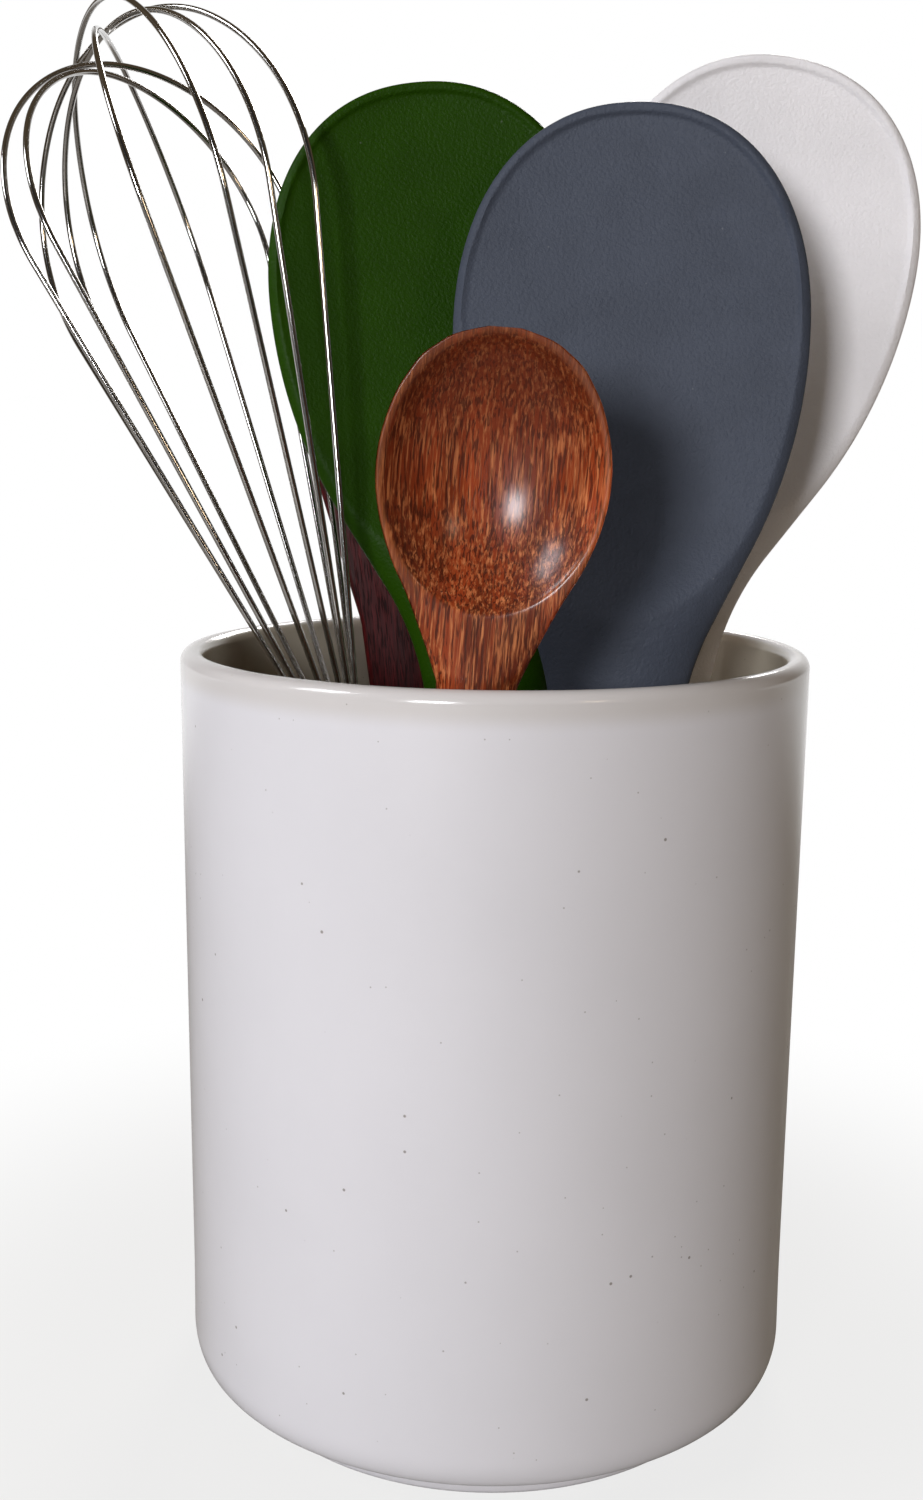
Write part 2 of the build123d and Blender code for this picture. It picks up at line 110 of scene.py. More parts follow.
# Each lamp's turn and height in degrees as seen from the tools, distance and size in metres, and colour
LAMPS = {
    "back": ((168.0, 28.0), 1.6, 0.5, (1.0, 0.98, 0.96)),
    "key": ((-20.0, 9.0), 1.5, 0.32, (0.96, 0.97, 1.0)),
    "side": ((-68.0, 35.0), 1.3, 0.4, (0.94, 0.96, 1.0)),
    "fill": ((35.0, 18.0), 1.2, 0.12, (1.0, 0.76, 0.50)),
}

# Where a noise's clouds start and end
CLOUD_EDGES = (0.3, 0.7)


def length(label, value, description):
    """A size in metres that a user may change."""
    return FloatProperty(name=label, description=description, default=value, unit="LENGTH", precision=4)


def angle_size(label, degrees, description):
    """An angle that a user may change, given in degrees."""
    return FloatProperty(name=label, description=description, default=radians(degrees), subtype="ANGLE")


def power(label, watts, description):
    """A lamp's power that a user may change."""
    return FloatProperty(name=label, description=description, default=watts, subtype="POWER")


def colour(label, value, description):
    """A linear colour that a user may change."""
    return FloatVectorProperty(
        name=label, description=description, default=value, size=3, subtype="COLOR", min=0.0, max=1.0,
    )


class CrockSizes(PropertyGroup):
    """Sizes of the pot."""

    height: length("Height", 0.1595, "From the foot's resting plane to the lip's top")
    lip_radius: length("Lip radius", 0.065, "Outer radius at the lip")
    base_radius: length("Base radius", 0.0646, "Outer radius above the lower corner")
    wall: length("Wall", 0.0048, "Thickness of the wall")
    floor_level: length("Floor level", 0.0105, "Height of the inner floor")
    bore_corner: length("Inner corner", 0.009, "Radius between the inner wall and floor")
    corner_height: length("Corner height", 0.006, "Height of the outer lower corner")
    corner_inset: length("Corner inset", 0.0025, "How far the lower corner draws in")
    underside: length("Underside", 0.007, "Height of the underside at the lower corner")
    foot_radius: length("Foot radius", 0.0551, "Outer radius of the foot ring")
    foot_height: length("Foot height", 0.0056, "Height of the foot ring")
    foot_width: length("Foot width", 0.005, "Width of the foot ring")
    foot_round: length("Foot rounding", 0.0012, "Rounding of the foot ring's edges")
    recess: length("Recess", 0.004, "Depth of the recess inside the foot ring")
    waver: length("Waver", 0.00022, "How far the thrown wall wavers inwards")


class SpoonSizes(PropertyGroup):
    """Sizes that the three silicone spoons share."""

    half_width: length("Half width", 0.035, "Half the head's width")
    crown_height: length("Crown height", 0.0439, "From the head's widest place to its tip")
    crown_power: FloatProperty(
        name="Crown power", description="Squareness of the crown, where 2 is an ellipse", default=2.22,
    )
    flank_radius: length("Flank radius", 0.096, "Radius of the head's round flanks")
    flank_turn: angle_size("Flank turn", 25.3, "Lean of the straight flanks")
    neck_width: length("Neck width", 0.026, "Width of the neck")
    neck_radius: length("Neck radius", 0.058, "Radius of the neck's fillet")
    thickness: length("Thickness", 0.013, "Thickness at the neck")
    back_swell: length("Back swell", 0.0036, "How far the head's back swells at its widest place")
    heel_drop: length("Heel drop", 0.0558, "How far the dish's heel is below the widest place")
    dish_run: length("Dish run-out", 0.020, "Length of the curve from the heel into the dish")
    dish_depth: length("Dish depth", 0.0031, "Depth of the dish at the curve's end")
    tip_depth: length("Tip depth", 0.0049, "Depth of the dish at the tip")
    dish_bow: length("Dish bow", 0.0015, "How far the dish bows in across its width")
    dish_lip: length("Dish lip", 0.0006, "How far the lip round the dish stands up")
    dish_lip_width: length("Dish lip width", 0.0017, "Width of the lip round the dish")
    dish_soft: length("Dish softness", 0.00022, "How soft the dish's edge is")
    grip_end_width: length("Grip end width", 0.017, "Width of the handle's end")
    grip_end_thickness: length("Grip end thickness", 0.011, "Thickness of the handle's end")
    grip_width: length("Grip width", 0.0145, "Least width of the handle")
    grip_thickness: length("Grip thickness", 0.0105, "Least thickness of the handle")
    end_round: length("End rounding", 0.0024, "Rounding of the handle's end")
    slot_length: length("Slot length", 0.015, "Length of the hanging slot")
    slot_width: length("Slot width", 0.008, "Width of the hanging slot")
    slot_place: length("Slot place", 0.016, "Middle of the hanging slot above the handle's end")


class LadleSizes(PropertyGroup):
    """Sizes of the wooden spoon."""

    reach: length("Length", 0.211, "Whole length")
    neck_place: length("Neck place", 0.1495, "Where the bowl starts")
    half_width: length("Half width", 0.020, "Half the bowl's width")
    depth: length("Depth", 0.013, "Depth of the bowl")
    neck_width: length("Neck width", 0.0144, "Width of the neck")
    neck_thickness: length("Neck thickness", 0.008, "Thickness of the neck")
    hollow_half_width: length("Hollow half width", 0.0189, "Half the hollow's width")
    hollow_half_length: length("Hollow half length", 0.0237, "Half the hollow's length")
    hollow_depth: length("Hollow depth", 0.0108, "Depth of the hollow")
    hollow_place: length("Hollow place", 0.1864, "Middle of the hollow above the handle's end")
    grip: length("Grip", 0.011, "Diameter of the handle's middle")
    end: length("End", 0.013, "Diameter of the handle's end")
    end_round: length("End rounding", 0.004, "Rounding of the handle's end")
    rim_soft: length("Rim softness", 0.0007, "How soft the hollow's edge is")


class TurnerSizes(PropertyGroup):
    """Sizes of the flat wooden turner."""

    reach: length("Length", 0.243, "Whole length")
    neck_width: length("Neck width", 0.0215, "Width where the blade starts")
    blade_width: length("Blade width", 0.041, "Width of the blade")
    neck_place: length("Neck place", 0.150, "Where the blade starts")
    shoulder_place: length("Shoulder place", 0.200, "Where the blade is widest")
    thickness: length("Thickness", 0.005, "Thickness of the blade")
    tip_round: length("Tip rounding", 0.014, "Rounding of the blade's corners")
    edge_round: length("Edge rounding", 0.0014, "Rounding along the blade's edges")
    grip_width: length("Grip width", 0.018, "Width of the handle")
    grip_thickness: length("Grip thickness", 0.008, "Thickness of the handle")
    grip_corner: length("Grip corner", 0.0036, "Rounding along the handle")
    end_round: length("End rounding", 0.003, "Rounding of the handle's end")


class WhiskSizes(PropertyGroup):
    """Sizes of the whisk."""

    wire: length("Wire", 0.00125, "Diameter of the wires")
    ring_radius: length("Ring radius", 0.006, "Radius of the circle that the wires leave from")
    seat_depth: length("Seat depth", 0.008, "How deep each wire sits in the plug")
    bend_radius: length("Bend radius", 0.022, "Radius of the bend above the plug")
    crown_radius: length("Crown radius", 0.035, "Radius of each loop's crown")
    crown_height: length("Crown height", 0.1455, "Height of the lowest crown above the mouth")
    crown_step: length("Crown step", 0.0018, "Step between the crowns' levels")
    bulb_half_width: length("Balloon half width", 0.036, "Half the balloon's width")
    mouth: length("Mouth", 0.1417, "Place of the handle's mouth above its end")
    mouth_radius: length("Mouth radius", 0.0086, "Outer radius of the collar")
    collar: length("Collar", 0.017, "Length of the straight collar")
    waist_radius: length("Waist radius", 0.0066, "Least radius of the handle")
    belly_radius: length("Belly radius", 0.0084, "Radius of the handle's belly")
    end_radius: length("End radius", 0.0074, "Radius of the handle's end")
    handle_wall: length("Handle wall", 0.0009, "Thickness of the tube")
    cap: length("Cap", 0.0026, "Thickness of the end cap")
    hook_wire: length("Hook wire", 0.0024, "Diameter of the hanging loop's wire")
    hook_width: length("Hook width", 0.007, "Inner width of the hanging loop")
    hook_length: length("Hook length", 0.017, "Length of the hanging loop")
    hook_seat: length("Hook seat", 0.005, "How deep the hanging loop sits in the cap")


class FinishColours(PropertyGroup):
    """Colours of the finishes, in linear light."""

    glaze: colour("Glaze", (0.79, 0.775, 0.81), "Off-white glaze")
    # This colour is painted shade inside the pot, and the thinner glaze over its lip.
    thin_glaze_and_shade: colour("Thin glaze", (0.52, 0.46, 0.37), "Glaze inside the pot and over its lip")
    speckle: colour("Speckle", (0.16, 0.13, 0.10), "Iron specks in the glaze")
    green: colour("Green silicone", (0.0150, 0.052, 0.0003), "Green spoon")
    grey: colour("Grey silicone", (0.064, 0.074, 0.100), "Grey spoon")
    white: colour("White silicone", (0.85, 0.825, 0.84), "White spoon")
    core: colour("Core", (0.05, 0.05, 0.05), "Stiffening strips in the silicone spoons")
    red_wood: colour("Reddish wood", (0.27, 0.040, 0.009), "Wooden spoon")
    # This colour's share on the edges is a painted highlight.
    bright_wood: colour("Bright fibres", (0.72, 0.25, 0.09), "Fibres and edge of the wooden spoon")
    dark_wood: colour("Dark wood", (0.050, 0.0015, 0.0022), "Turner")
    steel: colour("Steel", (0.55, 0.54, 0.53), "Wires, handle and cap")
    plug: colour("Plug", (0.20, 0.20, 0.21), "Plug that holds the wires")


class StageSettings(PropertyGroup):
    """The camera and the lamps."""

    camera_distance: length("Camera distance", 0.3502, "From the crock's axis to the camera")
    camera_height: length("Camera height", 0.203, "Height of the camera")
    pitch: angle_size("Pitch", 10.643, "How far the camera looks down")
    roll: angle_size("Roll", 0.590, "Turn of the camera about its view")
    yaw: angle_size("Yaw", 1.084, "Turn of the camera to the left")
    lens: FloatProperty(
        name="Lens", description="Focal length for a 36 mm high frame", default=40.38, subtype="DISTANCE_CAMERA",
    )
    key_power: power("Key", 13.2, "Power of the key lamp")
    side_power: power("Side", 6.6, "Power of the lamp at the left")
    fill_power: power("Fill", 0.75, "Power of the small lamp at the right")
    back_power: power("Back", 13.0, "Power of the lamp behind")
    room: FloatProperty(name="Room", description="Strength of the room's light", default=0.10)


# Shapes

def arc(centre, radii, start, stop, count):
    """Points on an ellipse's arc: centre plus the radii times the cosine and sine of an angle in degrees."""
    angle = np.radians(np.linspace(start, stop, count))
    return np.column_stack((centre[0] + radii[0] * np.cos(angle), centre[1] + radii[1] * np.sin(angle)))


def run(start, stop, count):
    """Evenly spaced points on a straight line."""
    share = np.linspace(0.0, 1.0, count)[:, None]
    return np.array(start) * (1 - share) + np.array(stop) * share


def ease(value, low, high):
    """0 below low, 1 above high, and the cubic 3t^2 - 2t^3 between."""
    share = np.clip((value - low) / (high - low), 0.0, 1.0)
    return share * share * (3 - 2 * share)


def soft_least(first, second, width):
    """The lesser of two heights, rounded where they cross: half of (a + b - the root of ((a - b)^2 + width^2))."""
    return 0.5 * (first + second - np.sqrt((first - second) ** 2 + width ** 2))


def smooth_through(places, values, at):
    """Cubic curve through values at places; each slope is the weighted mean of the slopes on its two sides."""
    places, values = np.asarray(places), np.asarray(values)
    slopes = np.gradient(values, places)
    index = np.clip(np.searchsorted(places, at, side="right") - 1, 0, len(places) - 2)
    step = places[index + 1] - places[index]
    share = np.clip((at - places[index]) / step, 0.0, 1.0)
    rise = values[index + 1] - values[index]
    bend_in = slopes[index] * step - rise
    bend_out = rise - slopes[index + 1] * step
    cubic = share * (1 - share) * (bend_in * (1 - share) + bend_out * share)
    return values[index] + rise * share + cubic


def oval(x, half_width):
    """The root of 1 - (x / half width)^2: 1 in the middle of a section and 0 at its edge."""
    return np.sqrt(np.clip(1 - (x / np.maximum(half_width, TINY)) ** 2, 0.0, 1.0))


def end_steps(radius, count):
    """Places along a rounded end, at even turns round it: the radius times 1 less the cosine of the turn."""
    return radius * (1 - np.cos(np.linspace(0, pi / 2, count)[:-1]))


def end_fall(along, radius):
    """How far a rounded end draws in: the radius less the root of radius^2 - (radius - along)^2."""
    fall = radius - np.sqrt(np.clip(radius ** 2 - (radius - along) ** 2, 0, None))
    return np.where(along < radius, fall, 0.0)


def across(half_width, sides):
    """Places across a tool: the half width times the sine of an angle whose steps are finer near the edges."""
    crowding = 0.3
    share = np.linspace(-1.0, 1.0, sides)
    return half_width[:, None] * np.sin(pi / 2 * ((1 + crowding) * share - crowding * share ** 3))


def skin(name, rings, closed=False, marks=None):
    """A mesh through rings of points, joined ring to ring. Closed rings of rings make a torus; otherwise
    each end is closed by a fan about its ring's mean point. marks holds values for each point."""
    count, sides = rings.shape[:2]
    points = rings.reshape(-1, 3)
    grid = np.arange(count * sides).reshape(count, sides)
    ring = grid if closed else grid[:-1]
    above = np.roll(grid, -1, axis=0) if closed else grid[1:]
    faces = np.stack((ring, np.roll(ring, -1, 1), np.roll(above, -1, 1), above), -1).reshape(-1, 4).tolist()
    if not closed:
        points = np.vstack((points, rings[0].mean(0), rings[-1].mean(0)))
        for end, loop in ((0, np.flip(grid[0])), (-1, grid[-1])):
            breadth = np.linalg.svd(rings[end] - rings[end].mean(0), compute_uv=False)[1]
            if breadth > POLE_SIZE:
                hub = np.full(sides, count * sides - end)
                faces += np.column_stack((loop, np.roll(loop, -1), hub)).tolist()
    mesh = bpy.data.meshes.new(name)
    mesh.from_pydata(points.tolist(), [], faces)
    for mark, values in (marks or {}).items():
        flat = np.asarray(values, float).reshape(count * sides, -1)
        if not closed:
            flat = np.vstack((flat, flat[:sides].mean(0), flat[-sides:].mean(0)))
        kind, field = ("FLOAT", "value") if flat.shape[1] == 1 else ("FLOAT_VECTOR", "vector")
        mesh.attributes.new(mark, kind, "POINT").data.foreach_set(field, flat.ravel())
    welded = bmesh.new()
    welded.from_mesh(mesh)
    bmesh.ops.remove_doubles(welded, verts=welded.verts, dist=WELD_DISTANCE)
    loose = [point for point in welded.verts if not point.link_faces]
    bmesh.ops.delete(welded, geom=loose, context="VERTS")
    welded.to_mesh(mesh)
    welded.free()
    piece = bpy.data.objects.new(name, mesh)
    bpy.context.scene.collection.objects.link(piece)
    mesh.shade_smooth()
    return piece


def coat(piece, finish):
    """Gives a piece one finish."""
    piece.data.materials.clear()
    piece.data.materials.append(finish)


def settle(piece, node, body, finish, crease=40.0):
    """Gives a piece its finish and its body, and hides the solid that it stands for."""
    piece.data.set_sharp_from_angle(angle=radians(crease))
    coat(piece, finish)
    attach(piece, body)
    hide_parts(node)
    return piece


def bake_modifiers(piece):
    """Puts what a piece's modifiers make into its mesh."""
    bpy.context.view_layer.update()
    graph = bpy.context.evaluated_depsgraph_get()
    shape = piece.evaluated_get(graph)
    mesh = bpy.data.meshes.new_from_object(shape, preserve_all_data_layers=True, depsgraph=graph)
    piece.modifiers.clear()
    old = piece.data
    piece.data = mesh
    bpy.data.meshes.remove(old)


class Stand:
    """Where a standing tool is: the origin in its handle's end, and its directions across, up and out of its face."""

    def __init__(self, body):
        share_x, share_y, turn = STANDS[body]
        sizes = bpy.context.scene.crock_sizes
        bore = sizes.lip_radius - sizes.wall
        self.up = LIFTS[body] / np.linalg.norm(LIFTS[body])
        level = np.array((cos(radians(turn)), sin(radians(turn)), 0.0))
        sideways = level - self.up * level.dot(self.up)
        self.across = sideways / np.linalg.norm(sideways)
        self.face = np.cross(self.across, self.up)
        self.origin = np.array((share_x * bore, share_y * bore, sizes.floor_level + SEAT_GAP))

    def lift(self, drop):
        """Moves the origin up the handle, so that what hangs this far below it clears the floor."""
        self.origin = self.origin + self.up * (drop / self.up[2])
        return self

    def on_end(self, half_width, thickness, front, end_round):
        """Stands the tool on a handle's rounded end, whose lowest edge hangs below the origin as it leans."""
        drop = end_round * (1 - self.up[2]) + (half_width - end_round) * abs(self.across[2])
        drop += (thickness / 2 - end_round) * abs(self.face[2]) + (thickness / 2 - front) * self.face[2]
        return self.lift(drop)

    def place(self, x, along, out):
        """Points at x across the tool, along its handle and out of its face."""
        x, along, out = np.broadcast_arrays(x, along, out)
        return self.origin + x[..., None] * self.across + along[..., None] * self.up + out[..., None] * self.face


def flat_tool(stand, name, along, x, front, back, rounds=(0.0, 0.0), rim=None):
    """A tool whose section lies between a front and a back height, at places x across it and along it. Each
    height draws in towards the other near the edge by a quarter ellipse's fall, of its own radius."""
    widest_share = 0.98
    deepest_share = 0.47
    width = x[:, -1:]

    def fall(radius):
        """The radius times 1 less the root of 1 - t^2, where t grows from 0 to 1 over the radius at the edge."""
        radius = np.broadcast_to(radius, along.shape)[:, None]
        reach = np.minimum(radius, width * widest_share)
        over = np.clip(np.abs(x) - (width - reach), 0.0, reach) / np.maximum(reach, TINY)
        drop = np.minimum(radius, (front - back) * deepest_share)
        return drop * (1 - np.sqrt(np.clip(1 - over ** 2, 0.0, 1.0)))

    top, base = front - fall(rounds[0]), back + fall(rounds[1])
    xs = np.concatenate((x, x[:, ::-1]), 1)
    outs = np.concatenate((top, base[:, ::-1]), 1)
    es = np.broadcast_to(along[:, None], xs.shape)
    marks = {GRAIN_PLACE: np.stack((xs, outs, es), -1)}
    if rim is not None:
        marks[EDGE_HIGHLIGHT] = rim(xs, es, outs)
    return skin(name, stand.place(xs, es, outs), marks=marks)


def spin(name, profile, origin, axis, sides, waver=None):
    """A closed profile of radius and height turned about an axis. The profile runs round its section once."""
    axis = np.asarray(axis) / np.linalg.norm(axis)
    side = np.cross(axis, (0.0, 1.0, 0.0))
    side /= np.linalg.norm(side)
    other = np.cross(axis, side)
    angle = np.linspace(0.0, 2 * pi, sides, endpoint=False)[None, :]
    radius, height = profile[:, :1], profile[:, 1:]
    if waver is not None:
        radius = radius - waver(radius, angle, height)
    turned = radius[..., None] * (np.cos(angle)[..., None] * side + np.sin(angle)[..., None] * other)
    return skin(name, origin + turned + height[..., None] * axis, closed=True)


def tube(name, path, normal, radius, sides):
    """A round tube with flat ends along a flat path: each point of the path plus the radius times the cosine
    of an angle towards the inside of the bend and its sine along the normal of the path's plane."""
    tangent = np.gradient(path, axis=0)
    tangent /= np.linalg.norm(tangent, axis=1)[:, None]
    inward = np.cross(normal, tangent)
    angle = np.linspace(0.0, 2 * pi, sides, endpoint=False)
    ring = np.cos(angle)[None, :, None] * inward[:, None, :] + np.sin(angle)[None, :, None] * np.asarray(normal)
    turned = path[:, None, :] + radius * ring
    travel = np.concatenate(((0.0,), np.cumsum(np.linalg.norm(np.diff(path, axis=0), axis=1))))
    own = np.broadcast_arrays(radius * np.cos(angle), radius * np.sin(angle), travel[:, None])
    return skin(name, turned[:, ::-1], marks={GRAIN_PLACE: np.stack(own, -1)[:, ::-1]})


# Finishes

class Link:
    """One output of a node. Sums, differences, products and comparisons of links add Math nodes."""

    def __init__(self, nodes, socket):
        self.nodes = nodes
        self.socket = socket

    def join(self, operation, *values):
        """A Math node on any number of links and numbers."""
        return self.nodes.node("ShaderNodeMath", {"operation": operation}, dict(enumerate(values)))

    def __add__(self, other):
        return self.join("ADD", self, other)

    __radd__ = __add__

    def __sub__(self, other):
        return self.join("SUBTRACT", self, other)

    def __rsub__(self, other):
        return self.join("SUBTRACT", other, self)

    def __mul__(self, other):
        return self.join("MULTIPLY", self, other)

    __rmul__ = __mul__

    def __lt__(self, other):
        return self.join("LESS_THAN", self, other)

    def most(self, other):
        """The greater of two links."""
        return self.join("MAXIMUM", self, other)

    def between(self, low, high):
        """0 below low, 1 above high and a smooth rise between."""
        settings = {"interpolation_type": "SMOOTHSTEP"}
        return self.nodes.node("ShaderNodeMapRange", settings, {"Value": self, "From Min": low, "From Max": high})


class Nodes:
    """The nodes of a material or of the world."""

    def __init__(self, tree):
        self.tree = tree

    def node(self, kind, settings=None, inputs=None, output=0):
        """Adds a node, sets its settings, then its sockets' values or links, and returns one of its outputs."""
        made = self.tree.nodes.new(kind)
        for label, value in (settings or {}).items():
            setattr(made, label, value)
        for socket, value in (inputs or {}).items():
            if isinstance(value, Link):
                self.tree.links.new(value.socket, made.inputs[socket])
            else:
                made.inputs[socket].default_value = value
        return Link(self, made.outputs[output])

    def part(self, vector, axis):
        """One coordinate of a vector."""
        return self.node("ShaderNodeSeparateXYZ", None, {0: vector}, axis)

    def size(self, vector):
        """The length of a vector."""
        return self.node("ShaderNodeVectorMath", {"operation": "LENGTH"}, {0: vector}, "Value")

    def blend(self, amount, first, second):
        """A shader from first to second."""
        return self.node("ShaderNodeMixShader", None, {0: amount, 1: first, 2: second})

    def show(self, shader, output):
        """Feeds a shader to the output node of this name."""
        self.tree.links.new(shader.socket, self.tree.nodes[output].inputs["Surface"])

    def seen(self, behind):
        """1 for rays that see the white background: the camera's, those through glass, and the glossy ones that
        leave towards the back."""
        camera, shiny, through = (
            self.node("ShaderNodeLightPath", output=name)
            for name in ("Is Camera Ray", "Is Glossy Ray", "Is Transmission Ray")
        )
        return camera.most(through).most(shiny * behind)


class Finish(Nodes):
    """A material with one Principled shader."""

    def __init__(self, name, **constants):
        self.material = bpy.data.materials.new(name)
        self.material.use_nodes = True
        super().__init__(self.material.node_tree)
        self.shader = self.tree.nodes["Principled BSDF"]
        for label, value in constants.items():
            self.shader.inputs[label.replace("_", " ")].default_value = value

    def stretch(self, vector, scale):
        """A vector times a scale for each axis."""
        return self.node("ShaderNodeMapping", None, {"Vector": vector, "Scale": scale})

    def place(self, scale=(1.0, 1.0, 1.0)):
        """Object coordinates in metres, stretched by a scale."""
        return self.stretch(self.node("ShaderNodeTexCoord", output="Object"), scale)

    def along(self, scale=(1.0, 1.0, 1.0)):
        """The piece's own coordinates across, out of and along it, stretched by a scale."""
        return self.stretch(self.node("ShaderNodeAttribute", {"attribute_name": GRAIN_PLACE}, output="Vector"), scale)

    def mark(self, name):
        """A value that the piece carries at its points."""
        return self.node("ShaderNodeAttribute", {"attribute_name": name}, output="Fac")

    def noise(self, place, scale, detail=2.0, roughness=0.5, warp=0.0):
        """Cloudy noise from 0 to 1."""
        values = {"Vector": place, "Scale": scale, "Detail": detail, "Roughness": roughness, "Distortion": warp}
        return self.node("ShaderNodeTexNoise", None, values)

    def specks(self, place, scale, size, share):
        """Small round specks: near the middle of a Voronoi cell, in a share of the cells."""
        solid_share = 0.55
        values = {"Vector": place, "Scale": scale, "Randomness": 1.0}
        distance = self.node("ShaderNodeTexVoronoi", None, values, "Distance")
        chance = self.node("ShaderNodeTexVoronoi", None, values, "Color")
        pick = self.node("ShaderNodeSeparateColor", None, {"Color": chance})
        return (1.0 - distance.between(size * solid_share, size)) * (pick < share)

    def mix(self, amount, first, second):
        """A colour from first to second."""
        first, second = (value if isinstance(value, Link) else (*value, 1.0) for value in (first, second))
        settings = {"data_type": "RGBA"}
        return self.node("ShaderNodeMix", settings, {"Factor": amount, 6: first, 7: second}, 2)

    def mottled(self, amount, base, less, more):
        """A colour that clouds between two shares of a base."""
        return self.mix(amount.between(*CLOUD_EDGES), tint(base, less), tint(base, more))

    def wear(self, **links):
        """Feeds sockets of the shader that vary over the surface."""
        for label, link in links.items():
            self.tree.links.new(link.socket, self.shader.inputs[label.replace("_", " ")])
        return self

    def bump(self, height, distance, strength):
        """Feeds a height to the shader's normal."""
        values = {"Height": height, "Distance": distance, "Strength": strength}
        return self.wear(Normal=self.node("ShaderNodeBump", None, values, "Normal"))


def tint(base, share):
    """A colour scaled by a share."""
    return tuple(min(1.0, channel * share) for channel in base)


def glaze_finish(colours):
    """Off-white gloss glaze: faint clouds, sparse iron specks, a thinner, warmer coat at the lip, and painted shade
    that darkens the whole inside of the pot.
    """
    bore_side = (0.0604, 0.0618)
    floor_side = (0.008, 0.012)
    lip_side = (0.1520, 0.1560)
    lip_amount = 0.35
    finish = Finish("glaze_finish", Roughness=0.16, IOR=1.5)
    place = finish.place()
    body = finish.mottled(finish.noise(place, 22.0, detail=3.0), colours.glaze, 0.985, 1.015)
    level = finish.part(place, "Z")
    radius = finish.size(finish.place((1.0, 1.0, 0.0)))
    # Painted shade: the whole inside of the pot takes the darker, warmer colour, for the shade that falls there.
    inner = (1.0 - radius.between(*bore_side)) * level.between(*floor_side)
    lip = level.between(*lip_side) * lip_amount
    body = finish.mix(inner.most(lip), body, colours.thin_glaze_and_shade)
    large = finish.specks(place, 260.0, size=0.10, share=0.11)
    small = finish.specks(place, 700.0, size=0.15, share=0.04)
    speckled = finish.mix(small * 0.45, body, colours.speckle)
    speckled = finish.mix(large * 0.7, speckled, colours.speckle)
    finish.wear(Base_Color=speckled, Roughness=0.12 + finish.noise(place, 40.0) * 0.08)
    return finish.bump(finish.noise(place, 90.0), distance=0.00012, strength=0.35).material


def silicone_finish(name, base):
    """Matte moulded silicone: fine grain, mottling that is stronger on dark colours, and a few pale dust specks."""
    finish = Finish(name, Roughness=0.5, IOR=1.41, Specular_IOR_Level=0.12)
    place = finish.place()
    spread = 0.02 + 0.05 * (1 - max(base))
    shade = finish.mottled(finish.noise(place, 70.0, detail=3.0, roughness=0.6), base, 1 - spread, 1 + spread)
    dust = finish.specks(place, 420.0, size=0.10, share=0.05)
    shade = finish.mix(dust * 0.3, shade, tuple(channel * 0.6 + 0.2 for channel in base))
    grain = finish.noise(place, 1500.0, roughness=0.6)
    finish.wear(Base_Color=shade, Roughness=0.36 + grain * 0.16)
    return finish.bump(grain, distance=0.00022, strength=0.8).material


def wood_finish(name, base, bright, gloss, coat_weight):
    """Oiled wood: broad bands, bright fibres and dark pores along the handle, a painted highlight along the
    edge and painted shade that darkens the end."""
    shaded_end_side = (0.182, 0.206)
    finish = Finish(
        name, Roughness=gloss, IOR=1.48, Specular_IOR_Level=0.2, Coat_Roughness=0.22, Coat_Weight=coat_weight,
    )
    bands = finish.noise(finish.along((170.0, 60.0, 10.0)), 1.0, detail=3.0, roughness=0.55, warp=0.4)
    fibres = finish.noise(finish.along((1900.0, 1100.0, 100.0)), 1.0, detail=3.0, roughness=0.65, warp=0.3)
    pores = finish.noise(finish.along((2600.0, 1500.0, 210.0)), 1.0, warp=0.5)
    shade = finish.mottled(bands, base, 0.45, 1.4)
    shade = finish.mix(fibres.between(0.44, 0.70) * 0.8, shade, bright)
    dark = pores.between(0.49, 0.62)
    shade = finish.mix(dark * 0.85, shade, tint(base, 0.22))
    # Painted highlight: the edges take the bright colour.
    shade = finish.mix(finish.mark(EDGE_HIGHLIGHT) * 0.2, shade, bright)
    # Painted shade: each wooden tool darkens towards its end, the top of the spoon's bowl.
    end_shade = finish.part(finish.along(), "Z").between(*shaded_end_side)
    shade = finish.mix(end_shade * 0.6, shade, tint(base, 0.35))
    finish.wear(Base_Color=shade, Roughness=gloss + dark * 0.18 + fibres * 0.06)
    return finish.bump(fibres * 0.5 - dark, distance=0.00010, strength=0.4).material


def steel_finish(name, base, roughness, streaks, follows=False):
    """Stainless steel with fine streaks, in object coordinates or following a wire's own."""
    finish = Finish(name, Metallic=1.0, Roughness=roughness)
    place = finish.along(streaks) if follows else finish.place(streaks)
    lines = finish.noise(place, 1.0, roughness=0.6)
    shade = finish.mottled(lines, base, 0.86, 1.08)
    finish.wear(Base_Color=shade, Roughness=roughness - 0.05 + lines * 0.10)
    return finish.bump(lines, distance=0.00003, strength=0.3).material


def plastic_finish(name, base, roughness):
    """Moulded plastic with a fine even grain."""
    finish = Finish(name, Roughness=roughness, IOR=1.5)
    place = finish.place()
    grain = finish.noise(place, 1200.0)
    shade = finish.mottled(finish.noise(place, 120.0), base, 0.9, 1.1)
    finish.wear(Base_Color=shade, Roughness=roughness - 0.06 + grain * 0.12)
    return finish.bump(grain, distance=0.00005, strength=0.5).material


